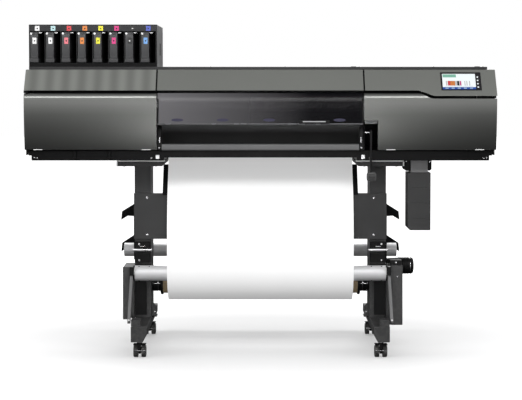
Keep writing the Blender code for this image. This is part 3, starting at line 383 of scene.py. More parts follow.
def fresh(name, shape, coats):
    # turns a shape into an object of its own
    bmesh.ops.recalc_face_normals(shape, faces=shape.faces)
    mesh = bpy.data.meshes.new(name)
    shape.to_mesh(mesh)
    shape.free()
    for coat in coats:
        mesh.materials.append(coat)
    made = bpy.data.objects.new(name, mesh)
    bpy.context.scene.collection.objects.link(made)
    return made


def smoothShade(mesh, angle=smoothAngle):
    mesh.shade_smooth()
    mesh.set_sharp_from_angle(angle=angle)


def addPrism(shape, outline, axis, start, end, coat=0):
    along = "XYZ".index(axis)
    rings = [[shape.verts.new([*point[:along], place,
                               *point[along:]]) for point in outline] for place in (start, end)]
    faces = [shape.faces.new(rings[0]), shape.faces.new(rings[1][::-1])]
    for i in range(len(outline)):
        j = (i + 1) % len(outline)
        faces.append(shape.faces.new((rings[0][i], rings[0][j], rings[1][j], rings[1][i])))
    for face in faces:
        face.material_index = coat


def addBlock(shape, low, high, coat=0):
    outline = [(low[0], low[1]), (high[0], low[1]), (high[0], high[1]), (low[0], high[1])]
    addPrism(shape, outline, "Z", low[2], high[2], coat)


def addTurned(shape, profile, centre, axis="X", count=48, coat=0):
    # profile points are (distance along the axis, radius), and coat is one number or one for each band
    along = "XYZ".index(axis)
    others = [k for k in range(3) if k != along]
    coats = coat if isinstance(coat, list) else [coat] * (len(profile) - 1)
    rings = []
    for place, radius in profile:
        ring = []
        for i in range(count if radius > 1e-6 else 1):
            turn = math.tau * i / count
            point = list(centre)
            point[along] += place
            point[others[0]] += radius * math.cos(turn)
            point[others[1]] += radius * math.sin(turn)
            ring.append(shape.verts.new(point))
        rings.append(ring)
    for first, second, number in zip(rings, rings[1:], coats):
        for i in range(count):
            j = (i + 1) % count
            corners = [first[i % len(first)], second[i % len(second)], second[j % len(second)],
                       first[j % len(first)]]
            corners = list(dict.fromkeys(corners))
            if len(corners) > 2:
                shape.faces.new(corners).material_index = number
    for ring, number in ((rings[0], coats[0]), (rings[-1], coats[-1])):
        if len(ring) > 1:
            shape.faces.new(ring).material_index = number


def addScrew(shape, place, facing, radius=0.0045, coat=0):
    # a domed head with a socket in it
    way = 1 if facing[0] == "+" else -1
    high = radius * 0.55
    profile = [(0.0, radius), (high * 0.5, radius), (high, radius * 0.72), (high, radius * 0.45),
               (high * 0.35, radius * 0.4), (high * 0.35, 0.0)]
    addTurned(shape, [(along * way, across) for along, across in profile], place, facing[1], 14, coat)


def circlePoints(centre, radius, count, start=0.0, end=None):
    last = math.tau * (1 - 1 / count) if end is None else end
    turns = [start + (last - start) * i / (count - 1) for i in range(count)]
    return [(centre[0] + radius * math.cos(t), centre[1] + radius * math.sin(t)) for t in turns]


def placed(name, shape, body, coats, nodes=(), rounding=0.0, steps=2):
    made = fresh(name, shape, coats)
    smoothShade(made.data)
    if rounding:
        soften(made, rounding, steps)
    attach(made, body)
    if nodes:
        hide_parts(*nodes)
    return made


def soften(made, width, steps=2):
    bevel = made.modifiers.new("Bevel", "BEVEL")
    bevel.width = width
    bevel.segments = steps
    bevel.limit_method = "ANGLE"
    bevel.angle_limit = smoothAngle
    bevel.harden_normals = True


def carve(made, shape):
    # cuts a shape away and keeps the result as the mesh
    cutter = fresh("cutter", shape, [])
    boolean = made.modifiers.new("Boolean", "BOOLEAN")
    boolean.operation = "DIFFERENCE"
    boolean.solver = "EXACT"
    boolean.object = cutter
    bpy.context.view_layer.update()
    graph = bpy.context.evaluated_depsgraph_get()
    result = bpy.data.meshes.new_from_object(made.evaluated_get(graph))
    made.modifiers.remove(boolean)
    made.data = result
    bpy.data.objects.remove(cutter)


def dress(name, coat, rounding=0.0012, steps=2):
    # a CAD node that stays, with its own finish and softened edges
    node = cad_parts[name]
    node.data.materials.clear()
    if "custom_normal" in node.data.attributes:
        node.data.attributes.remove(node.data.attributes["custom_normal"])
    node.data.materials.append(coat)
    node.data.shade_smooth()
    weld = node.modifiers.new("Weld", "WELD")
    weld.merge_threshold = 1e-5
    soften(node, rounding, steps)


# stand
stand = {
    "rounding": 0.0015,
    "screwRadius": 0.0055,
    "crossScrews": (0.018, 0.171),
    "plateScrews": (-0.262, -0.205, -0.02, 0.025),
    "clampFace": 0.112,  # the column's front, behind the front edge of the top plate
    "rod": {"radius": 0.006, "height": 0.417, "ahead": 0.004, "inset": 0.006},
    "clamp": {"low": 0.364, "split": 0.404, "high": 0.451, "half": 0.0332, "proud": 0.010, "slit": 0.003,
              "screws": (0.374, 0.441), "highlightLines": (0.420, 0.430), "highlightLineHalf": 0.011},
    "crossScrewInset": 0.018,
    "plateOffsets": (-0.062, 0.068),
    "columnScrews": {"across": 0.0335, "y": -0.107, "heights": (0.155, 0.695, 0.735)},
    "bracket": {"low": 0.130, "high": 0.190, "reach": 0.020, "thick": 0.004, "front": -0.140,
                "back": -0.085},
    "footCap": {"thick": 0.0012, "inset": 0.003, "height": 0.063, "half": 0.032, "corner": (0.0145, 0.027)},
    "legShadePlate": {"ahead": 0.1102, "low": 0.146, "high": 0.332, "inner": 0.016, "outer": 0.031},
}


def makeStand(settings):
    for name, side in sides.items():
        dress(f"{name}_foot", standPaint, settings["rounding"])
        dress(f"{name}_leg", standPaint, settings["rounding"])
        legLow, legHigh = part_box(f"{name}_leg")
        footLow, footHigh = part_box(f"{name}_foot")
        middle = (footLow.x + footHigh.x) / 2
        front = legLow.y + settings["clampFace"]
        clamp = settings["clamp"]
        half = clamp["half"]
        shape = bmesh.new()
        for low, high in ((clamp["low"], clamp["split"]), (clamp["split"] + clamp["slit"], clamp["high"])):
            addPrism(shape, [
                (middle - half, front), (middle - half, front - clamp["proud"] * 0.6),
                (middle - half + 0.004, front - clamp["proud"]), (middle + half - 0.004,
                                                                  front - clamp["proud"]),
                (middle + half, front - clamp["proud"] * 0.6), (middle + half, front),
            ], "Z", low, high)
        rod = settings["rod"]
        start = middle - half - rod["inset"]
        length = 2 * (half + rod["inset"])
        addTurned(shape, [(0.0, 0.0), (0.0, rod["radius"]), (length, rod["radius"]), (length, 0.0)],
                  (start, front - clamp["proud"] - rod["ahead"], rod["height"]), "X", 20, 1)
        for z in clamp["screws"]:
            addScrew(shape, (middle + side * 0.014, front - clamp["proud"], z), "-Y", 0.004, 1)
        # painted highlight: two thin bright metal strips stand for highlight lines on the black clamp
        for z in clamp["highlightLines"]:
            addBlock(shape, (middle - clamp["highlightLineHalf"], front - clamp["proud"] - 0.0012, z),
                     (middle + clamp["highlightLineHalf"], front - clamp["proud"] + 0.0005, z + 0.0018), 1)
        # painted shade: a black plate on the lower front of the leg darkens it where shade falls
        legShadePlate = settings["legShadePlate"]
        across = sorted((middle - side * legShadePlate["inner"], middle + side * legShadePlate["outer"]))
        addBlock(shape, (across[0], legLow.y + legShadePlate["ahead"], legShadePlate["low"]),
                 (across[1], front, legShadePlate["high"]))
        placed(f"{name}ClampFaceAndPaintedLight", shape, "root", [blackPaint, anodised], rounding=0.0012)

        shape = bmesh.new()
        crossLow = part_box("cross_panel")[0]
        screw = settings["screwRadius"]
        for height in settings["crossScrews"]:
            spot = middle - side * settings["crossScrewInset"]
            addScrew(shape, (spot, crossLow.y, crossLow.z + height), "-Y", screw)
        for y in settings["plateScrews"]:
            for offset in settings["plateOffsets"]:
                addScrew(shape, (middle + side * offset, y, legHigh.z - 0.019), "-Z", screw)
        column = settings["columnScrews"]
        for z in column["heights"]:
            addScrew(shape, (middle + side * column["across"], column["y"], z), outward(side), screw)
        placed(f"{name}StandScrews", shape, "root", [steel])

        shape = bmesh.new()
        plate = settings["bracket"]
        inner = middle - side * column["across"]
        across = sorted((inner, inner - side * plate["reach"]))
        addPrism(shape, [
            (inner, plate["low"]), (inner - side * plate["reach"], plate["low"]),
            (inner - side * plate["reach"], plate["high"] - 0.016), (inner - side * 0.006, plate["high"]),
            (inner, plate["high"]),
        ], "Y", plate["front"], plate["front"] + plate["thick"])
        addBlock(shape, (across[0], plate["front"], plate["low"]),
                 (across[1], plate["back"], plate["low"] + plate["thick"]))
        addScrew(shape, (inner - side * 0.011, plate["front"], plate["low"] + 0.022), "-Y", 0.004, 1)
        placed(f"{name}LegBracket", shape, "root", [standPaint, steel], rounding=0.0008)

        shape = bmesh.new()
        cap = settings["footCap"]
        low, high = footLow.z + cap["inset"], footLow.z + cap["height"] - cap["inset"]
        outer = middle + side * (cap["half"] - cap["inset"])
        start = middle - side * (cap["half"] - cap["inset"])
        run, rise = cap["corner"]
        outline = [(outer, low), (outer, high), (start, high), (start, low + rise),
                   (start + side * run, low)]
        addPrism(shape, outline, "Y", footLow.y + 0.0002, footLow.y + cap["thick"])
        addPrism(shape, outline, "Y", footHigh.y - cap["thick"], footHigh.y - 0.0002)
        placed(f"{name}FootCaps", shape, "root", [blackPlastic], rounding=0.0004)
    dress("cross_panel", standPaint, 0.0012)


casterLook = {"grooves": 3, "hub": 0.0155, "nut": 0.0085, "highlightBar": 0.0270, "gapHalf": 0.007, "hood": 0.0188,
              "slot": 0.0046, "pivotBack": 0.013}


def makeCasters(settings):
    for end in ("front", "rear"):
        for name in sides:
            key = f"{end}_{name}"
            wheelLow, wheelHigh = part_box(f"{key}_caster_wheels")
            centre = (wheelLow + wheelHigh) / 2
            radius = (wheelHigh.z - wheelLow.z) / 2
            outer = (wheelHigh.x - wheelLow.x) / 2
            inner = settings["gapHalf"]
            hub = settings["hub"]
            shape = bmesh.new()
            for side in sides.values():
                profile = [(inner, 0.004), (inner, radius - 0.0015), (inner + 0.0015, radius)]
                coats = [1, 0]
                room = outer - inner - 0.006
                for i in range(settings["grooves"]):
                    at = inner + 0.003 + room * (i + 0.3) / settings["grooves"]
                    profile += [(at, radius), (at + 0.0006, radius - 0.0008),
                                (at + 0.0018, radius - 0.0008),
                                (at + 0.0024, radius)]
                    coats += [0, 0, 0, 0]
                profile += [(outer - 0.004, radius), (outer - 0.0008, radius - 0.0035),
                            (outer - 0.0008, hub + 0.0015),
                            (outer - 0.0028, hub), (outer - 0.0028, 0.009), (outer - 0.0003, 0.006),
                            (outer - 0.0003, 0.0)]
                coats += [0, 0, 0, 1, 1, 1, 1]
                addTurned(shape, flipped(side, profile), centre, "X", 48, coats)
            axle = [(-inner - 0.001, 0.0), (-inner - 0.001, 0.004), (inner + 0.001, 0.004),
                    (inner + 0.001, 0.0)]
            addTurned(shape, axle, centre, "X", 20, 2)
            placed(f"{key}Wheels", shape, f"{key}_wheels", [tyreRubber, blackPlastic, steel],
                   [f"{key}_caster_wheels"])

            forkLow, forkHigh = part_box(f"{key}_caster_fork")
            middle = (forkLow.x + forkHigh.x) / 2
            pivot = forkLow.y + settings["pivotBack"]
            slotHalf = settings["slot"]
            shape = bmesh.new()
            hood = circlePoints((centre.y, centre.z), settings["hood"], 17, math.radians(-28),
                                math.radians(208))
            slot = circlePoints((centre.y, centre.z), slotHalf, 9, math.pi, 0.0)
            outline = hood + [(centre.y - slotHalf, centre.z - 0.009), *slot,
                              (centre.y + slotHalf, centre.z - 0.009)]
            addPrism(shape, outline, "X", middle - 0.005, middle + 0.005)
            addBlock(shape, (middle - 0.005, pivot - 0.011, centre.z + 0.010),
                     (middle + 0.005, pivot + settings["hood"], 0.0535))
            cap = [(pivot - 0.013, 0.0522), (pivot + 0.030, 0.0522), (pivot + 0.030, 0.0538),
                   (pivot + 0.024, 0.0554),
                   (pivot - 0.010, 0.0554), (pivot - 0.013, 0.0538)]
            addPrism(shape, cap, "X", middle - 0.0248, middle + 0.0248)
            stem = [(0.0540, 0.0), (0.0540, 0.0108), (0.0612, 0.0108), (0.0612, settings["nut"]),
                    (0.0680, settings["nut"]), (0.0680, 0.0)]
            addTurned(shape, stem, (middle, pivot, 0.0), "Z", 28, [0, 0, 0, 1, 1])
            # painted highlight: a thin steel bar across the front of the wheels stands for the bright line
            # there
            addBlock(shape, (middle - 0.0225, wheelLow.y - 0.0020, settings["highlightBar"]),
                     (middle + 0.0225, wheelLow.y - 0.0002, settings["highlightBar"] + 0.0045), 1)
            placed(f"{key}Fork", shape, f"{key}_caster", [blackPlastic, steel],
                   [f"{key}_caster_fork"], rounding=0.0007)


makeStand(stand)
makeCasters(casterLook)
print("stand and casters ready")


# body
body = {
    "trayScrew": 0.0035,
    "trayScrews": (-0.905, -0.893, -0.436, 0.437, 0.893, 0.905),
    "studHeight": 0.8015,
    "gapHighlight": {"inner": 0.3865, "outer": 0.5805, "low": 0.7868, "high": 0.7926, "front": -0.3008},
    "gapHighlightTab": {"inner": 0.5765, "outer": 0.5818, "low": 0.7685, "high": 0.7860},
    "recessBack": -0.3430,
    "recessEnds": (0.4155, 0.9375),
    "filler": (0.925, 0.9408),
    "flange": {"inner": 0.9286, "outer": 0.934, "low": 0.850, "high": 1.018, "deep": 0.020},
    "studs": (-0.742, -0.603),
    "studRadius": 0.0075,
    "seams": (-0.4145, 0.4145),
    "seamHalf": 0.0026,
    "topEnds": (-0.928, 0.910),
    "catches": (0.375, 0.872),
    "coverScrews": (-0.2, 0.1, 0.4, 0.7, 0.9),
    "vents": {"rows": 9, "pitch": 0.011, "height": 0.0045, "length": 0.150, "front": -0.085,
              "rear": (-0.86, 0.56),
              "rearLength": 0.24},
    "rearSeams": (-0.45, 0.45),
    "rearScrews": (-0.91, -0.47, -0.43, 0.43, 0.47, 0.91),
    "socket": {"left": 0.66, "right": 0.80, "low": 1.03, "high": 1.10},
}


def fasciaY(z):
    # where the sloping front of the upper panels lies at this height
    low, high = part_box("left_upper_panel")
    slope = (high.y - 0.004 - low.y) / (high.z - low.z)
    return low.y + (z - low.z) * slope


def makeBody(settings):
    dress("chassis", blackPaint, 0.0015)
    dress("left_upper_panel", bandedPaint, 0.0012)
    dress("centre_upper_panel", panelPaint, 0.0012)
    dress("right_upper_panel", panelPaint, 0.0012)
    dress("left_side_panel", panelPaint, 0.0008)
    dress("right_side_panel", panelPaint, 0.0008)
    dress("rear_cover", casingPaint, 0.0008)
    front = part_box("chassis")[0].y
    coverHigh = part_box("left_cover")[1]
    panelLow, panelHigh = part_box("left_upper_panel")
    stud = settings["studRadius"]
    shape = bmesh.new()
    for x in settings["studs"]:
        profile = [(0.0, stud + 0.002), (0.003, stud + 0.002), (0.003, stud), (0.028, stud),
                   (0.030, stud - 0.002),
                   (0.030, 0.0)]
        addTurned(shape, profile, (x, front - 0.004, settings["studHeight"]), "Z", 28)
    for x in settings["trayScrews"]:
        addScrew(shape, (x, front, 0.8035 if abs(x) < 0.9 else 0.806), "-Y", settings["trayScrew"], 1)
    placed("trayFittings", shape, "root", [blackPaint, steel], rounding=0.0006)

    # painted highlight: white strips between the tray and the stand's top plates show the bright gap there
    shape = bmesh.new()
    gapHighlight, tab = settings["gapHighlight"], settings["gapHighlightTab"]
    for side in sides.values():
        for part, thick in ((gapHighlight, 0.0020), (tab, 0.0012)):
            across = between(side, part["inner"], part["outer"])
            addBlock(shape, (across[0], gapHighlight["front"], part["low"]),
                     (across[1], gapHighlight["front"] + thick, part["high"]))
    placed("gapHighlights", shape, "root", [brightPaint], rounding=0.0003)

    # dark recess between the covers and the upper panels, and the casing's inner front
    shape = bmesh.new()
    back = settings["recessBack"]
    for side in sides.values():
        low, high = between(side, *settings["recessEnds"])
        addBlock(shape, (low, back - 0.003, coverHigh.z + 0.0005), (high, back, panelLow.z + 0.008))
        addBlock(shape, (low, back - 0.029, panelLow.z + 0.0015), (high, back, panelLow.z + 0.0035))
    for x in settings["seams"]:
        seam = [(fasciaY(z) - 0.0002, z) for z in (panelLow.z + 0.0002, panelHigh.z - 0.0004)]
        seam += [(y + 0.002, z) for y, z in reversed(seam)]
        addPrism(shape, seam, "X", x - settings["seamHalf"], x + settings["seamHalf"])
    inner, outer = settings["filler"]
    addBlock(shape, (-outer, back - 0.047, coverHigh.z + 0.0007), (-inner, back, panelLow.z - 0.0002))
    addBlock(shape, (inner, back - 0.031, 1.0436), (outer, back, 1.0528))
    addBlock(shape, (-0.411, back - 0.023, panelLow.z - 0.002), (0.411, back + 0.003, panelLow.z + 0.002))
    placed("panelRecess", shape, "root", [blackPaint])

    # a flange behind each cover's outer end closes the view along the body
    shape = bmesh.new()
    flange = settings["flange"]
    for side in sides.values():
        ends = between(side, flange["inner"], flange["outer"])
        addBlock(shape, (ends[0], coverHigh.y + 0.0006, flange["low"]),
                 (ends[1], coverHigh.y + flange["deep"], flange["high"]))
    placed("endFlanges", shape, "root", [blackPaint])

    # folded edge of the top cover, with its two catches
    topLow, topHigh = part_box("top_cover")
    start, end = settings["topEnds"]
    shape = bmesh.new()
    addBlock(shape, (start, topLow.y, topLow.z), (end, topHigh.y, topHigh.z))
    placed("topCover", shape, "root", [casingPaint], ["top_cover"], rounding=0.001)
    shape = bmesh.new()
    for x in settings["catches"]:
        addPrism(shape, [(topLow.y + 0.010, topHigh.z - 0.002), (topLow.y + 0.030, topHigh.z - 0.002),
                         (topLow.y + 0.026, topHigh.z + 0.002), (topLow.y + 0.014, topHigh.z + 0.002)],
                 "X", x - 0.010, x + 0.010)
    placed("topCoverCatches", shape, "root", [blackPaint], rounding=0.0006)
    shape = bmesh.new()
    for x in settings["coverScrews"]:
        for y in (topLow.y + 0.05, topHigh.y - 0.03):
            addScrew(shape, (x, y, topHigh.z), "+Z", 0.004)
    placed("topCoverScrews", shape, "root", [steel])


def makeVents(settings):
    # louvres on both side panels and the back, a socket plate, and seams of the rear cover
    vent = settings["vents"]
    for name, side in sides.items():
        low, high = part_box(f"{name}_side_panel")
        outer = high.x if side > 0 else low.x
        shape = bmesh.new()
        for i in range(vent["rows"]):
            z = low.z + 0.052 + i * vent["pitch"]
            face = [(outer - side * 0.0012, z), (outer - side * 0.0002, z),
                    (outer - side * 0.0002, z + 0.001),
                    (outer - side * 0.0012, z + vent["height"])]
            addPrism(shape, face, "Y", vent["front"], vent["front"] + vent["length"])
        placed(f"{name}Vents", shape, "root", [blackPaint])
    rearLow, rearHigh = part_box("rear_cover")
    back = rearHigh.y
    shape = bmesh.new()
    for start in vent["rear"]:
        for i in range(vent["rows"]):
            z = rearLow.z + 0.06 + i * vent["pitch"]
            addPrism(shape, [(back - 0.001, z), (back - 0.0002, z), (back - 0.0002, z + 0.001),
                             (back - 0.001, z + vent["height"])], "X", start, start + vent["rearLength"])
    for x in settings["rearSeams"]:
        addBlock(shape, (x - 0.0012, back - 0.001, rearLow.z + 0.01),
                 (x + 0.0012, back - 0.0002, rearHigh.z - 0.01))
    for x in settings["rearScrews"]:
        for z in (rearLow.z + 0.03, rearHigh.z - 0.03):
            addScrew(shape, (x, back - 0.0024, z), "+Y", 0.0042, 1)
    placed("rearDetails", shape, "root", [blackPlastic, steel])
    shape = bmesh.new()
    socket = settings["socket"]
    left, bottom = socket["left"], socket["low"]
    addBlock(shape, (left, back - 0.002, bottom), (socket["right"], back - 0.0001, socket["high"]))
    addBlock(shape, (left + 0.015, back - 0.003, bottom + 0.013), (left + 0.048, back, bottom + 0.057), 1)
    for i in range(3):
        x = left + 0.062 + i * 0.024
        addBlock(shape, (x, back - 0.003, bottom + 0.028), (x + 0.014, back, bottom + 0.042), 2)
    placed("socketPlate", shape, "root", [greyPlastic, blackPlastic, anodised],
           rounding=0.0008)


makeBody(body)
makeVents(body)
print("body ready")


# front covers
covers = {
    "back": -0.350,
    "fold": 0.020,
    "tuck": 0.018,
    "skin": 0.003,
    "steps": 24,
    "notch": {"width": 0.055, "height": 0.1185},
    "step": {"fromSide": 0.311, "run": 0.060, "drop": 0.0215, "ease": 0.016},
    "grips": {"left": (0.4555, 0.8875), "right": (0.521, 0.875)},
    "gripWidth": 0.036,
}


def coverOutline(low, high, settings, offset):
    fold = settings["fold"]
    centre = (low.y + fold, high.z - fold)
    bottom = low.z + offset
    points = []
    for i in range(settings["steps"] + 1):
        share = i / settings["steps"]
        points.append((low.y + settings["tuck"] * (1 - share) ** 2 + offset,
                       bottom + (centre[1] - bottom) * share))
    arc = circlePoints(centre, fold - offset, 20, math.pi, math.pi / 2)
    return points + arc[1:]


def makeCovers(settings):
    for name, side in sides.items():
        low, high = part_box(f"{name}_cover")
        high = Vector((high.x, settings["back"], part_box("left_cover")[1].z))
        skin = settings["skin"]
        shape = bmesh.new()
        addPrism(shape, coverOutline(low, high, settings, 0.0) + [(high.y, high.z), (high.y, low.z)], "X",
                 low.x + 0.0004, high.x)
        made = placed(f"{name}Cover", shape, f"{name}_cover", [coverPaintWithPaintedShade],
                      [f"{name}_cover"])
        shape = bmesh.new()
        inside = coverOutline(low, high, settings, skin)
        inside += [(high.y + 0.02, high.z - skin), (high.y + 0.02, low.z + skin)]
        addPrism(shape, inside, "X", low.x + skin, high.x - skin)
        carve(made, shape)
        if side > 0:
            notch = settings["notch"]
            shape = bmesh.new()
            addBlock(shape, (low.x - 0.01, low.y - 0.02, low.z - 0.02),
                     (low.x + notch["width"], high.y + 0.02, low.z + notch["height"]))
            carve(made, shape)
            step = settings["step"]
            start = high.x - step["fromSide"]
            line = []
            for i in range(13):
                share = i / 12
                drop = step["drop"] * (3 * share ** 2 - 2 * share ** 3)
                line.append((start + step["run"] * share, high.z - drop + 0.0004))
            outline = [(start, high.z + 0.03), *line, (high.x + 0.02, line[-1][1]),
                       (high.x + 0.02, high.z + 0.03)]
            shape = bmesh.new()
            addPrism(shape, outline, "Y", low.y - 0.02, high.y + 0.02)
            carve(made, shape)
        smoothShade(made.data, math.radians(30))
        soften(made, 0.0012, 2)
        shape = bmesh.new()
        for place in settings["grips"][name]:
            x = side * place
            half = settings["gripWidth"] / 2
            addPrism(shape, [(low.y + 0.0165, low.z - 0.0004), (low.y + 0.0235, low.z - 0.0004),
                             (low.y + 0.0235, low.z + 0.0016), (low.y + 0.0165, low.z + 0.0022)],
                     "X", x - half, x + half)
        placed(f"{name}CoverGrips", shape, f"{name}_cover", [brightPaint],
               rounding=0.0004)


makeCovers(covers)
print("covers ready")


# window, front bar and print bed
windowParts = {
    "lip": 0.0065,
    "lampGlows": (-0.330, -0.150, 0.035, 0.315),
    "handleEnd": 0.016,
    "endCap": 0.0050,
    "glow": (0.024, 0.0060, 0.0190),
    "shadeSheet": {"back": -0.1435, "front": -0.165, "thick": 0.0025, "low": 0.8500, "high": 0.9480,
              "end": 0.4147},
    "endBracket": {"inner": 0.3965, "outer": 0.4105, "front": -0.374, "back": -0.336, "low": 0.8365},
    "bracketStrip": {"inner": 0.3995, "outer": 0.4035, "front": -0.3752, "low": 0.866, "high": 0.888},
    "bracketClip": {"inner": 0.404, "outer": 0.418, "front": -0.3635, "low": 0.8005, "high": 0.8165},
}


def makeWindow(settings):
    dress("window", smokedWindow, 0.0008)
    low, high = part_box("window")
    shape = bmesh.new()
    lip = settings["lip"]
    addPrism(shape, [(low.y + 0.0003, low.z + 0.0002), (low.y - 0.0007, low.z + 0.0008),
                     (low.y - 0.0007, low.z + lip - 0.001), (low.y + 0.0003, low.z + lip)],
             "X", low.x + 0.001, high.x - 0.001)
    for x in (low.x, high.x - settings["endCap"]):
        addBlock(shape, (x, low.y - 0.0003, low.z + 0.0006),
                 (x + settings["endCap"], low.y + 0.0115, high.z - 0.022), 1)
    placed("windowTrim", shape, "window", [windowEdge, blackPlastic], rounding=0.0004)
    # painted light: lighter patches on the glass stand for lamp light seen through it
    shape = bmesh.new()
    glowWide, glowHigh, glowRise = settings["glow"]
    for x in settings["lampGlows"]:
        outline = [(x + glowWide * a, low.z + glowRise + glowHigh * b) for a,
                   b in circlePoints((0.0, 0.0), 1.0, 24)]
        addPrism(shape, outline, "Y", low.y - 0.0001, low.y + 0.006)
    placed("windowLampGlows", shape, "window", [lampGlowTint])
    shape = bmesh.new()
    grip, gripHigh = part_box("window_handle")
    end = settings["handleEnd"]
    middle = (grip.z + gripHigh.z) / 2
    half = (gripHigh.z - grip.z) / 2
    outline = [(gripHigh.y, middle - half), (grip.y + 0.003, middle - half),
               (grip.y + 0.0006, middle - half + 0.0025),
               (grip.y, middle), (grip.y + 0.0006, middle + half - 0.0025), (grip.y + 0.003, middle + half),
               (gripHigh.y, middle + half)]
    addPrism(shape, outline, "X", grip.x, gripHigh.x, 1)
    addBlock(shape, (grip.x + end, grip.y - 0.0003, middle - 0.0014),
             (gripHigh.x - end, grip.y + 0.004, middle + 0.0026))
    placed("windowPull", shape, "window", [pullMetal, blackPlastic], ["window_handle"],
           rounding=0.0006)


def makeFront(settings):
    low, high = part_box("front_bar")
    shape = bmesh.new()
    outline = [(high.y, low.z), (low.y + 0.003, low.z), (low.y, low.z + 0.003),
               (low.y + 0.0008, high.z - 0.006)]
    outline += circlePoints((low.y + 0.0065, high.z - 0.0058), 0.0056, 7, math.pi, math.pi / 2)
    outline += [(high.y - 0.004, high.z - 0.0004), (high.y, high.z - 0.004)]
    addPrism(shape, outline, "X", low.x, high.x)
    placed("frontBar", shape, "root", [greyPlastic], ["front_bar"], rounding=0.0008)
    shape = bmesh.new()
    # painted shade: a dark sheet behind the window hides the bed and carriages, which the shade under the
    # smoked window keeps dark
    shadeSheet = settings["shadeSheet"]
    end = shadeSheet["end"]
    addPrism(shape, [(shadeSheet["back"], shadeSheet["low"]), (shadeSheet["back"] - shadeSheet["thick"], shadeSheet["low"]),
                     (shadeSheet["back"] - shadeSheet["thick"], shadeSheet["high"]), (shadeSheet["back"],
                                                                       shadeSheet["high"])], "X", -end, end)
    for side in sides.values():
        across = between(side, end - 0.003, end)
        addBlock(shape, (across[0], shadeSheet["front"], shadeSheet["low"]),
                 (across[1], shadeSheet["back"], shadeSheet["high"]))
    placed("paintedShadeSheet", shape, "root", [shadeSheetPaint], rounding=0.0006)
    for name, side in sides.items():
        shape = bmesh.new()
        plate = settings["endBracket"]
        front, back, foot = plate["front"], plate["back"], plate["low"]
        addPrism(shape, [(front, foot), (front, foot + 0.0315), (front + 0.008, foot + 0.0515),
                         (front + 0.022, foot + 0.0895), (back, foot + 0.0935), (back, foot)],
                 "X", *between(side, plate["inner"], plate["outer"]))
        spot = side * (plate["inner"] + plate["outer"]) / 2
        addScrew(shape, (spot, front + 0.0035, foot + 0.0395), "-Y", 0.0035, 1)
        addScrew(shape, (spot, front, foot + 0.0095), "-Y", 0.0035, 1)
        for part in (settings["bracketStrip"], settings["bracketClip"]):
            across = between(side, part["inner"], part["outer"])
            addBlock(shape, (across[0], part["front"], part["low"]),
                     (across[1], part["front"] + 0.004, part["high"]), 1)
        placed(f"{name}EndBracket", shape, "root", [blackPlastic, anodised], rounding=0.0008)


bed = {"grooves": 46, "firstGroove": 0.014, "groovePitch": 0.0168, "axle": 0.006, "axleEnd": 0.004,
       "bands": 8, "bandPitch": 0.0969, "bandHalf": 0.030, "bandDeep": 0.0022}


def makeBed(settings):
    dress("platen", anodised, 0.0008)
    dress("apron", blackPaint, 0.0006)
    dress("pinch_bar", blackPlastic, 0.0008)
    low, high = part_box("platen")
    shape = bmesh.new()
    for i in range(settings["grooves"]):
        x = low.x + settings["firstGroove"] + i * settings["groovePitch"]
        addBlock(shape, (x, low.y + 0.006, high.z - 0.0002), (x + 0.0012, high.y - 0.014, high.z + 0.00005))
    placed("bedGrooves", shape, "root", [blackPlastic])
    low, high, centre, radius = roundNode("grit_roller")
    axle, end, half = settings["axle"], settings["axleEnd"], settings["bandHalf"]
    neck = radius - settings["bandDeep"]
    profile = [(low.x, 0.0), (low.x, axle), (low.x + end, axle)]
    coats = [0, 0]
    for i in range(settings["bands"]):
        middle = low.x + end + (i + 0.5) * settings["bandPitch"]
        start, stop = max(middle - half, low.x + 0.005), min(middle + half, high.x - 0.005)
        profile += [(start, neck), (start, radius), (stop, radius), (stop, neck)]
        coats += [0, 0, 1, 0]
    profile += [(high.x - end, axle), (high.x, axle), (high.x, 0.0)]
    coats += [0, 0, 0]
    shape = bmesh.new()
    addTurned(shape, profile, centre, "X", 40, coats)
    placed("gritRoller", shape, "grit_roller", [steel, gritSteel], ["grit_roller"])


# guide rail with its belt, and the carriages

def makeRail():
    dress("guide_rail", anodised, 0.0008)
    low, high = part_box("guide_rail")
    shape = bmesh.new()
    middle = (low.z + high.z) / 2
    addBlock(shape, (low.x + 0.02, low.y + 0.0085, middle - 0.004),
             (high.x - 0.02, low.y + 0.0098, middle + 0.004))
    addBlock(shape, (low.x + 0.02, low.y - 0.0004, high.z - 0.012), (high.x - 0.02, low.y, high.z - 0.006),
             1)
    placed("railBelt", shape, "root", [tyreRubber, steel])


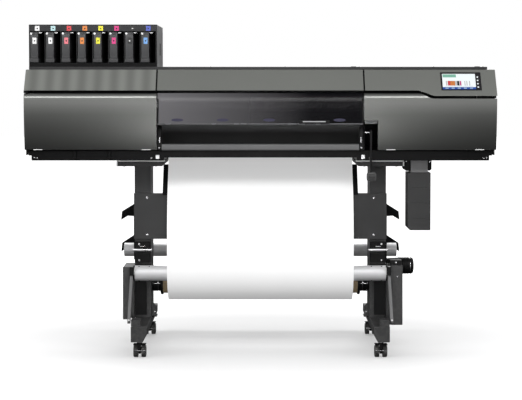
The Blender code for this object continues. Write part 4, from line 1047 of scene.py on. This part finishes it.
def makeCarriage(name, title, wide):
    low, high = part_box(name)
    shape = bmesh.new()
    front, back = low.y, high.y
    outline = [(back, low.z + 0.03), (back, high.z), (back - 0.068, high.z)]
    outline += circlePoints((back - 0.072, high.z - 0.014), 0.0139, 6, math.radians(88), math.radians(140))
    outline += [(front + 0.004, high.z - 0.047), (front, high.z - 0.054), (front, low.z + 0.022),
                (front + 0.019, low.z), (back - 0.020, low.z)]
    addPrism(shape, outline, "X", low.x + 0.0006, high.x - 0.0006)
    middle = (low.x + high.x) / 2
    half = (high.x - low.x) / 2 - 0.012
    addBlock(shape, (middle - half, front - 0.0004, low.z + 0.030),
             (middle + half, front + 0.002, low.z + 0.086), 1)
    if wide:
        for i in range(4):
            x = middle - half + 0.014 + i * (2 * half - 0.028) / 3
            addBlock(shape, (x - 0.010, back - 0.060, high.z - 0.001), (x + 0.010, back - 0.025, high.z), 1)
        for x in (middle - half, middle + half):
            addScrew(shape, (x, front + 0.0002, low.z + 0.096), "-Y", 0.003, 2)
    else:
        addTurned(shape, [(0.0, 0.0), (0.0, 0.011), (0.018, 0.011), (0.022, 0.007), (0.022, 0.0)],
                  (middle, front + 0.018, high.z - 0.052), "Z", 28, 2)
    addBlock(shape, (low.x + 0.004, front + 0.03, low.z), (high.x - 0.004, back - 0.03, low.z + 0.002), 2)
    placed(title, shape, name, [blackPlastic, glossBlack, steel], [name], rounding=0.0012)


# touch screen, with a plain made-up menu
screen = {
    "bezel": 0.0065,
    "strip": 0.016,
    "proud": 0.0033,
    "tiles": 5,
    "keys": 4,
    "bars": ((0.10, 0.006, "silver"), (0.16, 0.010, "red"), (0.235, 0.010, "orange"),
             (0.305, 0.010, "orange"),
             (0.375, 0.008, "silver"), (0.44, 0.009, "black"), (0.52, 0.006, "magenta"), (0.66, 0.004,
                                                                                          "silver"),
             (0.72, 0.004, "silver"), (0.80, 0.004, "silver")),
}


def makeScreen(settings):
    low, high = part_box("touch_screen")
    front = -settings["proud"]

    def slab(shape, x1, x2, z1, z2, rise, coat, deep=0.0020):
        # a thin tile on the sloping front, rise is how far its face lies behind the glass
        start = len(shape.verts)
        addBlock(shape, (x1, front + rise, z1), (x2, front + deep, z2), coat)
        shape.verts.ensure_lookup_table()
        for vertex in shape.verts[start:]:
            vertex.co.y += fasciaY(vertex.co.z)

    shape = bmesh.new()
    slab(shape, low.x, high.x, low.z, high.z, 0.0007, 0, 0.0030)
    placed("screenBezel", shape, "root", [glossBlack], ["touch_screen"], rounding=0.0014,
           steps=3)
    edge = settings["bezel"]
    x1, x2 = low.x + edge, high.x - edge - settings["strip"]
    z1, z2 = low.z + edge * 0.6, high.z - edge
    end = high.x - edge
    shape = bmesh.new()
    slab(shape, x1, x2, z1, z2, 0.0005, 0)
    slab(shape, x1 + 0.002, x1 + (x2 - x1) * 0.42, z2 - 0.014, z2 - 0.002, 0.0003, 1)
    slab(shape, x1, x2, z1, z1 + 0.0085, 0.0003, 2)
    for i in range(settings["tiles"]):
        x = x1 + 0.010 + i * (x2 - x1 - 0.020) / 4.6
        slab(shape, x, x + 0.012, z1 + 0.002, z1 + 0.0065, 0.0001, 3)
    slab(shape, x2 + 0.0015, end, z1, z2, 0.0005, 4)
    for i in range(settings["keys"]):
        z = z1 + 0.006 + i * (z2 - z1 - 0.008) / settings["keys"]
        slab(shape, end - 0.010, end - 0.0045, z, z + 0.005, 0.0003, 0)
    slab(shape, x1 + 0.008, x2 - 0.010, z1 + 0.0115, z1 + 0.0125, 0.0003, 3)
    placed("screenMenu", shape, "root",
           [menuWhite, menuGreen, menuBlue, menuPale, glossBlack])
    shape = bmesh.new()
    names = []
    for share, width, colour in settings["bars"]:
        if colour not in names:
            names.append(colour)
        x = x1 + (x2 - x1) * share
        slab(shape, x, x + width, z1 + 0.0145, z1 + 0.033, 0.0003, names.index(colour))
    placed("screenBars", shape, "root", [menuColours[name] for name in names])


# ink rack and cartridges
inkRack = {
    "pitch": 0.0645,
    "ribs": 9,
    "slots": {"count": 6, "first": 0.16, "pitch": 0.014, "wide": 0.005, "low": 0.05, "high": 0.10},
    "strip": {"low": 1.3140, "high": 1.3398},
    "chip": {"width": 0.0186, "low": 1.3165, "high": 1.3358, "shift": 0.0133},
    "chipColours": ("white", "cyan", "red", "orange", "yellow", "magenta", "black", "blue"),
    "label": {"width": 0.0160, "low": 1.2630, "high": 1.2885, "shift": -0.0012},
    "labelColours": ("white", "white", "pink", "orange", "yellow", "magenta", "black", "sky"),
}


def makeInkRack(settings):
    dress("ink_rack", blackPlastic, 0.0012)
    low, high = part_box("ink_rack")
    front = low.y
    strip = settings["strip"]
    shape = bmesh.new()
    addPrism(shape, [(front + 0.002, strip["low"]), (front - 0.0006, strip["low"] + 0.0006),
                     (front - 0.0006, strip["high"] - 0.002), (front + 0.002, strip["high"] + 0.0012)],
             "X", low.x + 0.0008, high.x - 0.0008)
    placed("rackBrow", shape, "root", [rackBrowFinish], rounding=0.0006)
    shape = bmesh.new()
    addPrism(shape, [(front + 0.004, low.z + 0.001), (front + 0.004, high.z - 0.001),
                     (high.y - 0.030, high.z - 0.001),
                     (high.y - 0.006, high.z - 0.022), (high.y - 0.004, low.z + 0.001)],
             "X", high.x - 0.0004, high.x + 0.0006)
    slots = settings["slots"]
    for i in range(slots["count"]):
        y = front + slots["first"] + i * slots["pitch"]
        addBlock(shape, (high.x - 0.0002, y, low.z + slots["low"]),
                 (high.x + 0.0009, y + slots["wide"], low.z + slots["high"]), 1)
    placed("rackSidePanel", shape, "root", [rackSide, blackPlastic], rounding=0.0002)
    shape = bmesh.new()
    addPrism(shape, [(front + 0.003, low.z + 0.0005), (front - 0.0004, low.z + 0.0012),
                     (front - 0.0004, low.z + 0.0130), (front + 0.003, low.z + 0.0142)],
             "X", low.x + 0.001, high.x - 0.001)
    for i in range(settings["ribs"]):
        x = low.x + 0.0007 + i * settings["pitch"]
        addBlock(shape, (x, front - 0.0004, low.z + 0.0142), (x + 0.0016, front + 0.004, strip["low"]), 1)
    placed("rackFrame", shape, "root", [blackPlastic, rackSide], rounding=0.0003)
    shape = bmesh.new()
    for x in (low.x + 0.03, high.x - 0.03):
        for y in (front + 0.03, high.y - 0.03):
            addScrew(shape, (x, y, high.z - 0.0024), "+Z", 0.0042)
    placed("rackScrews", shape, "root", [steel])


def markOn(colour):
    return "silver" if colour == "black" else "black"


def makeCartridges(settings):
    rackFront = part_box("ink_rack")[0].y
    chip = settings["chip"]
    label = settings["label"]
    for i, (labelColour, chipColour) in enumerate(zip(settings["labelColours"], settings["chipColours"])):
        node = f"ink_cartridge_{i + 1}"
        low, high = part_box(node)
        middle = (low.x + high.x) / 2
        front = low.y
        inset = 0.0018
        shape = bmesh.new()
        addPrism(shape, [(front + 0.001, low.z + 0.017), (front + 0.001, high.z - 0.016),
                         (front + 0.004, high.z - 0.006),
                         (front + 0.006, high.z), (high.y, high.z), (high.y, low.z), (front + 0.004,
                                                                                      low.z + 0.017)],
                 "X", low.x + inset, high.x - inset, 0)
        addPrism(shape, [(front, low.z + 0.002), (front, low.z + 0.0155), (front + 0.002, low.z + 0.0175),
                         (high.y - 0.002, low.z + 0.0175), (high.y - 0.002, low.z), (front + 0.002, low.z)],
                 "X", low.x + 0.0001, high.x - 0.0001, 1)
        for side in sides.values():
            x = middle + side * 0.0128
            addBlock(shape, (x - 0.0008, front + 0.0003, low.z + 0.020),
                     (x + 0.0008, front + 0.003, high.z - 0.022), 1)
        addBlock(shape, (middle - 0.010, front + 0.0006, low.z + 0.022),
                 (middle + 0.010, front + 0.003, low.z + 0.026), 1)
        addTurned(shape, [(0.0, 0.0), (0.0, 0.0050), (-0.0016, 0.0044), (-0.0016, 0.0)],
                  (low.x + 0.0058, front + 0.0022, high.z - 0.0068), "Y", 20, 2)
        addBlock(shape, (middle - 0.005, front + 0.0008, high.z - 0.010),
                 (middle + 0.009, front + 0.006, high.z - 0.0045), 1)
        placed(f"inkCartridge{i + 1}", shape, node,
               [cartridgePlastic, cartridgeFoot, brightPaint],
               [node], rounding=0.0008)
        shape = bmesh.new()
        half = label["width"] / 2
        x = middle + label["shift"] + 0.0032
        addBlock(shape, (x - half, front + 0.0005, label["low"]), (x + half, front + 0.002, label["high"]))
        addBlock(shape, (x - 0.0026, front + 0.0003, label["low"] + 0.0095),
                 (x + 0.0026, front + 0.002, label["low"] + 0.0155), 1)
        placed(f"cartridgeLabel{i + 1}", shape, node,
               [chips[labelColour], chips[markOn(labelColour)]], rounding=0.0003)

        shape = bmesh.new()
        half = chip["width"] / 2
        x = middle + chip["shift"]
        addBlock(shape, (x - half, rackFront - 0.0011, chip["low"]),
                 (x + half, rackFront + 0.001, chip["high"]))
        addBlock(shape, (x - 0.0028, rackFront - 0.0013, chip["low"] + 0.006),
                 (x + 0.0028, rackFront, chip["low"] + 0.0115), 1)
        lever = high.x + 0.0005
        addBlock(shape, (lever, rackFront + 0.006, high.z - 0.0050),
                 (lever + 0.0125, rackFront + 0.0085, high.z - 0.0015), 2)
        placed(f"rackChip{i + 1}", shape, "root",
               [chips[chipColour], chips[markOn(chipColour)], brightPaint], rounding=0.0004)


# loading lever and drain bottle
lever = {
    "middle": 0.441,
    "pivot": (-0.325, 0.905),
    "front": -0.386,
    "thick": 0.018,
    "gripShift": 0.0025,
    "gripPower": 0.45,
    "gripRings": ((0.000, 0.0150, 0.0120), (0.004, 0.0188, 0.0153), (0.016, 0.0192, 0.0157),
                  (0.028, 0.0188, 0.0153), (0.035, 0.0145, 0.0115)),  # height, half across, half deep
}


def roundedRing(halfX, halfY, power, count=32):
    # points round a rectangle with very round corners
    points = []
    for i in range(count):
        across, deep = math.cos(math.tau * i / count), math.sin(math.tau * i / count)
        points.append((halfX * math.copysign(abs(across) ** power, across),
                       halfY * math.copysign(abs(deep) ** power, deep)))
    return points


def makeLever(settings):
    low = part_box("loading_lever")[0]
    middle = settings["middle"]
    pivotY, pivotZ = settings["pivot"]
    front = settings["front"]
    back = front + settings["thick"]
    gripLow = low.z
    shape = bmesh.new()
    outline = circlePoints((pivotY, pivotZ), 0.0139, 14, math.radians(-70), math.radians(96))
    outline += [(front + 0.010, pivotZ + 0.0138), (front + 0.003, pivotZ + 0.010), (front, pivotZ + 0.002),
                (front, gripLow + 0.010), (back, gripLow + 0.010), (back, pivotZ - 0.034), (back + 0.004,
                                                                                            pivotZ - 0.026)]
    addPrism(shape, outline, "X", middle - 0.0038, middle + 0.0038)
    pin = low.x
    addTurned(shape, [(pin, 0.0), (pin, 0.0058), (middle, 0.0058), (middle, 0.0)], (0.0, pivotY, pivotZ),
              "X", 24, 2)
    addTurned(shape, [(0.0, 0.0), (0.0, 0.0085), (0.0015, 0.0085), (0.0025, 0.006), (0.0025, 0.0)],
              (middle + 0.0036, pivotY, pivotZ), "X", 24, 2)
    gripMiddle = middle + settings["gripShift"]
    gripY = (front + back) / 2
    levels = []
    for rise, halfX, halfY in settings["gripRings"]:
        ring = roundedRing(halfX, halfY, settings["gripPower"])
        levels.append([shape.verts.new((gripMiddle + x, gripY + y, gripLow + rise)) for x, y in ring])
    for first, second in zip(levels, levels[1:]):
        for i in range(len(first)):
            j = (i + 1) % len(first)
            shape.faces.new((first[i], first[j], second[j], second[i])).material_index = 1
    shape.faces.new(levels[0]).material_index = 1
    shape.faces.new(levels[-1]).material_index = 1
    for i in range(4):
        z = gripLow + 0.0085 + i * 0.0055
        addBlock(shape, (gripMiddle - 0.013, gripY - 0.0163, z),
                 (gripMiddle + 0.013, gripY - 0.014, z + 0.0022))
    placed("loadingLever", shape, "loading_lever", [blackPlastic, leverGrip, steel],
           ["loading_lever"],
           rounding=0.0006)


def makeDrain():
    low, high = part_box("drain_bottle")
    shape = bmesh.new()
    outline = [(low.x + 0.010, low.z), (high.x, low.z), (high.x, high.z), (low.x, high.z),
               (low.x, low.z + 0.010)]
    addPrism(shape, outline, "Y", low.y + 0.0008, high.y)
    for i in range(3):
        z = low.z + 0.048 + i * 0.062
        addBlock(shape, (low.x + 0.010, low.y, z), (high.x - 0.010, low.y + 0.002, z + 0.0016))
    addBlock(shape, (low.x - 0.0002, low.y + 0.030, low.z + 0.012),
             (low.x + 0.004, low.y + 0.044, low.z + 0.026), 1)
    placed("drainBottle", shape, "root", [bottlePlastic, blackPlastic], ["drain_bottle"],
           rounding=0.0030, steps=3)
    neckLow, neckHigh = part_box("drain_bracket")
    shape = bmesh.new()
    addBlock(shape, neckLow, neckHigh)
    placed("drainNeck", shape, "root", [neckPlastic], ["drain_bracket"], rounding=0.0022,
           steps=3)
    shape = bmesh.new()
    left, right = low.x - 0.014, high.x + 0.004
    start, stop = neckLow.x - 0.0004, neckHigh.x + 0.0004
    top = neckHigh.z
    for y1, y2 in ((low.y + 0.006, low.y + 0.012), (high.y - 0.012, high.y - 0.006)):
        leftEar = [(left, top), (start, top), (start, neckLow.z + 0.006)]
        leftEar += circlePoints((left + 0.010, neckLow.z + 0.017), 0.010, 6, -math.pi / 2, -math.pi)
        addPrism(shape, leftEar, "Y", y1, y2)
        addPrism(shape, [(stop, top), (right, top), (right, neckLow.z + 0.014),
                         (right - 0.006, neckLow.z + 0.008),
                         (stop, neckLow.z + 0.008)], "Y", y1, y2, 0)
    for x in (left + 0.007, right - 0.007):
        addScrew(shape, (x, low.y + 0.006, top - 0.007), "-Y", 0.0036, 1)
    placed("drainEars", shape, "root", [blackPaint, steel], rounding=0.0008)


lampGlowTint = surface("lampGlowTint", (0.050, 0.047, 0.078), 0.25, tone=0.1, grain=0.0, specular=0.16)
pullMetal = surface("pullMetal", (0.42, 0.42, 0.43), 0.4, 0.3, tone=0.05, grain=0.2, grainSize=0.0006)
windowEdge = surface("windowEdge", (0.10, 0.10, 0.105), 0.25, 0.4, tone=0.08, grain=0.1)
shadeSheetPaint = surface("shadeSheetPaint", (0.052, 0.052, 0.0525), 0.5, tone=0.12, grain=0.3, grainSize=0.0009)
gritSteel = surface("gritSteel", (0.35, 0.35, 0.35), 0.6, 0.8, tone=0.15, grain=0.9, grainSize=0.0008)
rackBrowFinish = surface("rackBrow", (0.021, 0.021, 0.023), 0.35, tone=0.1, grain=0.3, grainSize=0.0008)
leverGrip = surface("leverGrip", (0.05, 0.05, 0.05), 0.55, tone=0.12, grain=0.5, grainSize=0.0009)
neckPlastic = surface("neckPlastic", (0.165, 0.165, 0.167), 0.42, tone=0.06, grain=0.3, grainSize=0.0008)
menuWhite = glow("menuWhite", (0.86, 0.92, 0.93), 0.5)
menuGreen = glow("menuGreen", (0.25, 0.55, 0.42), 0.3)
menuBlue = glow("menuBlue", (0.02, 0.08, 0.35), 0.4)
menuPale = glow("menuPale", (0.35, 0.5, 0.7), 0.3)
menuColours = {name: glow(name + "Bar", chipColours[name], 0.2) for name in ("silver", "red", "orange",
                                                                             "black", "magenta")}
makeWindow(windowParts)
makeFront(windowParts)
makeBed(bed)
makeRail()
makeCarriage("print_carriage", "printCarriage", True)
makeCarriage("cutting_carriage", "cuttingCarriage", False)
makeScreen(screen)
makeInkRack(inkRack)
makeCartridges(inkRack)
makeLever(lever)
makeDrain()
print("window, bed, carriages, screen, ink rack, lever and drain ready")


# take-up unit
rollCore = 0.045
rollHalf = 0.381
takeUp = {
    "wraps": 9,
    "coreWall": 0.006,
    "armPivot": (-0.370, 0.150),
    "armFoot": 0.0108,
    "armHead": 0.0148,
    "armRing": 0.0295,
    "boxLip": 0.0155,
    "motorRibs": {"count": 6, "first": 0.050, "pitch": 0.0072},
    "tubeScrewTurns": (115, 245),
    "tubeScrews": (0.455, 0.497),
    "tubeCap": 0.007,
}


def rollProfile(radius, wraps):
    # wound media, whose turns show as fine rings on its ends
    profile = [(rollHalf - 0.0004, rollCore)]
    for i in range(wraps):
        at = rollCore + (radius - rollCore) * (i + 0.5) / wraps
        profile += [(rollHalf - 0.0006, at - 0.0006), (rollHalf, at)]
    profile += [(rollHalf, radius - 0.0006), (rollHalf - 0.0006, radius)]
    return bothEnds(profile)


def makeTakeUp(settings):
    low, high, centre, radius = roundNode("take_up_roll")
    core = rollCore
    shape = bmesh.new()
    addTurned(shape, rollProfile(radius, settings["wraps"]), centre, "X", 96)
    placed("takeUpMedia", shape, "take_up", [mediaPaperPaintedLight], ["take_up_roll"])
    shape = bmesh.new()
    end = high.x
    wall = settings["coreWall"]
    for side in sides.values():
        profile = [(rollHalf - 0.004, core - 0.001), (end - 0.0008, core - 0.001), (end, core - 0.0018),
                   (end, core - wall),
                   (end - 0.0150, core - wall), (end - 0.0150, 0.0)]
        addTurned(shape, flipped(side, profile), centre, "X", 64)
    placed("takeUpCore", shape, "take_up", [kraftCore])
    for name, side in sides.items():
        hubLow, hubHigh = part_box(f"take_up_{name}_hub")
        start = hubLow.x if side > 0 else -hubHigh.x
        stop = hubHigh.x if side > 0 else -hubLow.x
        shape = bmesh.new()
        profile = [(start - 0.012, 0.0), (start - 0.012, 0.0375), (start - 0.0002, 0.0378), (start, 0.049),
                   (start + 0.0012, 0.0500), (start + 0.0082, 0.0500), (start + 0.0098,
                                                                        0.0485), (start + 0.0098, 0.0358),
                   (start + 0.0190, 0.0358), (start + 0.0190, 0.0345), (start + 0.0218,
                                                                        0.0345), (start + 0.0218, 0.0358),
                   (stop - 0.0015, 0.0358), (stop, 0.0345), (stop, 0.0)]
        coats = [0, 0, 0, 0, 0, 0, 0, 0, 0, 1, 0, 0, 0, 0]
        addTurned(shape, flipped(side, profile), centre, "X", 64, coats)
        # painted highlight: a thin steel strip on the hub's front stands for the highlight line along the
        # shaft
        strip = between(side, start + 0.0120, stop - 0.0030)
        addBlock(shape, (strip[0], centre[1] - 0.0367, centre[2] - 0.0002),
                 (strip[1], centre[1] - 0.0350, centre[2] + 0.0016), 1)
        for k in range(6):
            turn = math.tau * k / 6
            y = centre[1] + 0.0425 * math.cos(turn)
            z = centre[2] + 0.0425 * math.sin(turn)
            x = side * (start + 0.0092)
            addTurned(shape, [(0.0, 0.0038), (side * 0.0022, 0.0034), (side * 0.0022, 0.0)], (x, y, z), "X",
                      12, 1)
        placed(f"{name}Hub", shape, "take_up", [blackPlastic, steel],
               [f"take_up_{name}_hub"])

        dress(f"take_up_{name}_box", boxPaint, 0.0018)
        boxLow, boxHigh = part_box(f"take_up_{name}_box")
        shape = bmesh.new()
        outer = boxHigh.x if side > 0 else boxLow.x
        inner = boxLow.x + settings["boxLip"] if side > 0 else boxHigh.x - settings["boxLip"]
        across = sorted((inner, outer))
        addBlock(shape, (across[0] + 0.003, boxLow.y - 0.0006, boxLow.z + 0.003),
                 (across[1] - 0.003, boxLow.y + 0.001, boxHigh.z - 0.003), 0)
        for z in (boxLow.z + 0.018, boxHigh.z - 0.018):
            addScrew(shape, (outer, boxLow.y + 0.025, z), outward(side), 0.004, 1)
        placed(f"{name}BoxFace", shape, "root", [boxPaint, steel], rounding=0.0008)
    boxLow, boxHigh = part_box("take_up_right_box")
    shape = bmesh.new()
    addScrew(shape, ((boxLow.x + boxHigh.x) / 2 + 0.012, boxLow.y - 0.0006, boxHigh.z - 0.046), "-Y", 0.004,
             1)
    addBlock(shape, (boxHigh.x - 0.050, boxLow.y + 0.008, boxHigh.z),
             (boxHigh.x - 0.004, boxLow.y + 0.050, boxHigh.z + 0.020))
    addScrew(shape, (boxHigh.x - 0.027, boxLow.y + 0.008, boxHigh.z + 0.010), "-Y", 0.0038, 1)
    placed("rightBoxBlock", shape, "root", [blackPlastic, steel], rounding=0.0014)

    low, high, centre, radius = roundNode("take_up_motor")
    profile = [(low.x, 0.0), (low.x, radius - 0.004)]
    coats = [0, 0]
    ribs = settings["motorRibs"]
    for i in range(ribs["count"]):
        at = low.x + ribs["first"] + i * ribs["pitch"]
        profile += [(at, radius - 0.0012), (at + 0.0012, radius), (at + 0.0048, radius),
                    (at + 0.0060, radius - 0.0012)]
        coats += [0, 0, 0, 0]
    profile += [(high.x - 0.0165, radius - 0.0012), (high.x - 0.0150, radius - 0.0012),
                (high.x - 0.0135, radius),
                (high.x - 0.009, radius - 0.0008), (high.x - 0.0035, radius - 0.0040), (high.x - 0.0008,
                                                                                        radius - 0.011),
                (high.x, radius - 0.017), (high.x, 0.010), (high.x - 0.002, 0.009), (high.x - 0.002, 0.0)]
    coats += [1, 0, 0, 0, 0, 0, 0, 0, 0, 0]
    shape = bmesh.new()
    addTurned(shape, profile, centre, "X", 56, coats)
    placed("takeUpMotor", shape, "root", [blackPlastic, steel], ["take_up_motor"])


def makeDancer(settings):
    low, high, centre, radius = roundNode("dancer_tube")
    end = high.x
    cap = settings["tubeCap"]
    shape = bmesh.new()
    profile = [(end - cap, 0.0), (end - cap, radius - 0.0005), (end - cap - 0.0008, radius)]
    addTurned(shape, bothEnds(profile), centre, "X", 96)
    for side in sides.values():
        for x in settings["tubeScrews"]:
            for turn in settings["tubeScrewTurns"]:
                y = centre[1] + (radius - 0.0006) * math.cos(math.radians(turn))
                z = centre[2] + (radius - 0.0006) * math.sin(math.radians(turn))
                button = [(-0.0015, 0.0), (-0.0015, 0.0028), (0.0012, 0.0028), (0.0016, 0.0018),
                          (0.0016, 0.0)]
                addTurned(shape, button, (side * x, y, z), "Y", 12, 1)
    placed("dancerTube", shape, "dancer", [tubeMetal, blackPlastic], ["dancer_tube"])
    shape = bmesh.new()
    for side in sides.values():
        profile = [(end - cap - 0.002, 0.0), (end - cap, radius - 0.004), (end - cap, radius + 0.0002),
                   (end - 0.001, radius + 0.0002), (end, radius - 0.001), (end, 0.0)]
        addTurned(shape, flipped(side, profile), centre, "X", 64)
    placed("dancerCaps", shape, "dancer", [blackPlastic])
    pivot = settings["armPivot"]
    foot, ring = settings["armFoot"], settings["armRing"]
    tube = (centre[1], centre[2])
    run = Vector((tube[0] - pivot[0], tube[1] - pivot[1])).normalized()
    lean = math.atan2(run.y, run.x)
    for name, side in sides.items():
        # a round foot on the pivot, straight sides that widen upwards, and a ring round the tube
        armLow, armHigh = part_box(f"dancer_{name}_arm")
        line = []
        for i in range(13):
            share = i / 12
            line.append((pivot[0] + (tube[0] - pivot[0]) * share, pivot[1] + (tube[1] - pivot[1]) * share,
                         foot + (settings["armHead"] - foot) * share))
        rightSide = [(y + run.y * w, z - run.x * w) for y, z, w in line]
        leftSide = [(y - run.y * w, z + run.x * w) for y, z, w in line]
        bottom = circlePoints(pivot, foot, 12, lean + math.pi / 2, lean + 1.5 * math.pi)
        spread = math.asin(settings["armHead"] / ring)
        top = circlePoints(tube, ring, 24, lean + math.pi + spread, lean + 3 * math.pi - spread)
        shape = bmesh.new()
        addPrism(shape, bottom + rightSide[1:-3] + top + leftSide[-4:0:-1], "X", armLow.x + 0.0003,
                 armHigh.x - 0.0003)
        outer = armHigh.x if side > 0 else armLow.x
        addScrew(shape, (outer - side * 0.0016, tube[0], tube[1]), outward(side), 0.0028, 1)
        addScrew(shape, ((armLow.x + armHigh.x) / 2, pivot[0] - 0.0102, pivot[1] + 0.004), "-Y", 0.0038, 1)
        head = between(side, 0.5140, 0.5338)
        addBlock(shape, (head[0], tube[0] - 0.0338, tube[1] - 0.006),
                 (head[1], tube[0] - 0.0322, tube[1] + 0.029), 2)
        # painted highlight: a thin white strip down the inner front edge of the head
        edge = between(side, 0.5142, 0.5154)
        addBlock(shape, (edge[0], tube[0] - 0.0342, tube[1] - 0.004),
                 (edge[1], tube[0] - 0.0330, tube[1] + 0.027), 1)
        placed(f"{name}DancerArm", shape, "dancer", [armPaint, brightPaint, blackPlastic],
               [f"dancer_{name}_arm"], rounding=0.0016, steps=3)


# rear roll holders
rear = {
    "tubeBore": 0.020,
    "screwFace": 0.5273,
    "screws": ((-0.09, 0.395), (-0.09, 0.530), (-0.045, 0.395), (-0.045, 0.530), (0.2, 0.395),
               (0.24, 0.53)),
    "wraps": 13,
}


def makeRear(settings):
    low, high, centre, radius = roundNode("rear_tube")
    end = high.x
    shape = bmesh.new()
    profile = bothEnds([(end, settings["tubeBore"]), (end, radius - 0.0012), (end - 0.0012, radius)])
    addTurned(shape, profile, centre, "X", 72)
    for side in sides.values():
        cap = [(end - 0.004, 0.0), (end - 0.004, 0.0215), (end - 0.0005, 0.0215), (end - 0.0005, 0.0)]
        addTurned(shape, flipped(side, cap), centre, "X", 40, 1)
    placed("rearTube", shape, "root", [tubeMetal, blackPlastic], ["rear_tube"])
    for name, side in sides.items():
        dress(f"rear_{name}_bracket", blackPaint, 0.0012)
        shape = bmesh.new()
        for y, z in settings["screws"]:
            addScrew(shape, (side * settings["screwFace"], y, z), outward(side), 0.005)
        placed(f"{name}BracketScrews", shape, "root", [steel])

    low, high, centre, radius = roundNode("supply_roll")
    shape = bmesh.new()
    addTurned(shape, rollProfile(radius, settings["wraps"]), centre, "X", 96)
    placed("supplyMedia", shape, "supply", [mediaPaperPaintedLight], ["supply_roll"])
    shape = bmesh.new()
    for side in sides.values():
        core = [(rollHalf - 0.004, 0.044), (0.4042, 0.044), (0.405, 0.0432), (0.405, 0.039), (0.392, 0.039),
                (0.392, 0.0)]
        addTurned(shape, flipped(side, core), centre, "X", 64)
        hub = [(0.390, 0.0), (0.390, 0.0385), (0.4052, 0.0385), (0.4052, 0.049), (0.4138, 0.049),
               (0.4150, 0.0478),
               (0.4150, 0.024), (0.4420, 0.022), (0.4420, 0.0118), (0.5188, 0.0118), (0.5188, 0.0)]
        addTurned(shape, flipped(side, hub), centre, "X", 56, [1, 1, 1, 1, 1, 1, 1, 1, 2, 2])
    placed("supplyHubs", shape, "supply", [kraftCore, blackPlastic, steel])


# media
media = {
    "width": 0.762,
    "thick": 0.0004,
    "columns": 40,
    "webTop": 0.8458,
    "bend": 0.030,
    "frontBendY": -0.100,
    "rearBendY": 0.142,
    "fall": ((-0.155, 0.750), (-0.222, 0.640), (-0.254, 0.520), (-0.262, 0.450)),
    "splitHeight": 0.47,
    "supply": {"y": 0.290, "z": 0.550, "radius": 0.0853, "turn": 22},
    "loop": {"frontY": -0.2655, "backY": -0.108, "top": 0.360, "lowest": 0.2002},
}


def stripPiece(name, line, settings, body=None):
    # a closed sheet of media of even thickness along a line of (y, z) points
    shape = bmesh.new()
    half = settings["width"] / 2
    thick = settings["thick"]
    normals = []
    for i in range(len(line)):
        before = Vector(line[max(i - 1, 0)])
        after = Vector(line[min(i + 1, len(line) - 1)])
        run = (after - before).normalized()
        normals.append(Vector((-run.y, run.x)))
    columns = settings["columns"]
    grid = []
    for layer in (0.0, thick):
        rows = []
        for point, normal in zip(line, normals):
            row = []
            for k in range(columns + 1):
                x = -half + settings["width"] * k / columns
                row.append(shape.verts.new((x, point[0] + normal.x * layer, point[1] + normal.y * layer)))
            rows.append(row)
        grid.append(rows)
    for rows in grid:
        for first, second in zip(rows, rows[1:]):
            for k in range(columns):
                shape.faces.new((first[k], first[k + 1], second[k + 1], second[k]))
    for k in range(columns):
        for i in (0, len(line) - 1):
            shape.faces.new((grid[0][i][k], grid[0][i][k + 1], grid[1][i][k + 1], grid[1][i][k]))
    for i in range(len(line) - 1):
        for k in (0, columns):
            shape.faces.new((grid[0][i][k], grid[0][i + 1][k], grid[1][i + 1][k], grid[1][i][k]))
    made = fresh(name, shape, [mediaPaperPaintedLight])
    smoothShade(made.data)
    if body:
        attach(made, body)
    return made


def smoothLine(points, steps=8):
    # a Catmull-Rom curve through the points
    line = []
    for i in range(len(points) - 1):
        p0 = Vector(points[max(i - 1, 0)])
        p1, p2 = Vector(points[i]), Vector(points[i + 1])
        p3 = Vector(points[min(i + 2, len(points) - 1)])
        for k in range(steps):
            t = k / steps
            line.append(0.5 * ((2 * p1) + (p2 - p0) * t + (2 * p0 - 5 * p1 + 4 * p2 - p3) * t ** 2
                               + (3 * p1 - p0 - 3 * p2 + p3) * t ** 3))
    line.append(Vector(points[-1]))
    return [(point.x, point.y) for point in line]


def makeMedia(settings):
    bend = settings["bend"]
    bendZ = settings["webTop"] - bend

    # over the bed and round the front bend, then down to the dancer tube
    front = circlePoints((settings["frontBendY"], bendZ), bend, 10, math.pi / 2, math.radians(170))
    curve = smoothLine([front[-1], *settings["fall"]], 10)
    back = circlePoints((settings["rearBendY"], bendZ), bend, 10, math.radians(12), math.pi / 2)
    roll = settings["supply"]
    turn = math.radians(roll["turn"])
    leaves = (roll["y"] - roll["radius"] * math.cos(turn), roll["z"] + roll["radius"] * math.sin(turn))
    over = [leaves, *back, *front]
    onBed = stripPiece("mediaOverBed", over, settings, "root")
    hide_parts("media_web")

    split = next(i for i, point in enumerate(curve) if point[1] < settings["splitHeight"])
    upper = curve[:split + 1]
    piece = stripPiece("mediaFrontUpper", upper, settings)
    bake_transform(piece)

    # round the dancer tube and under the take-up roll
    under = settings["loop"]
    frontY, backY, top, lowest = under["frontY"], under["backY"], under["top"], under["lowest"]
    loop = []
    for i in range(25):
        turn = math.pi / 2 * i / 24
        loop.append((backY + (frontY - backY) * math.cos(turn), top + (lowest - top) * math.sin(turn)))
    lower = curve[split:] + loop
    piece = stripPiece("mediaFrontLower", lower, settings)
    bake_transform(piece)


boxPaint = surface("boxPaint", (0.036, 0.036, 0.0365), 0.48, tone=0.08, grain=0.4, grainSize=0.001,
                   dust=0.1)
armPaint = surface("armPaint", (0.15, 0.15, 0.152), 0.42, tone=0.08, grain=0.35, grainSize=0.001, dust=0.1)
makeTakeUp(takeUp)
makeDancer(takeUp)
makeRear(rear)
makeMedia(media)
print("take-up unit, rear holders and media ready")
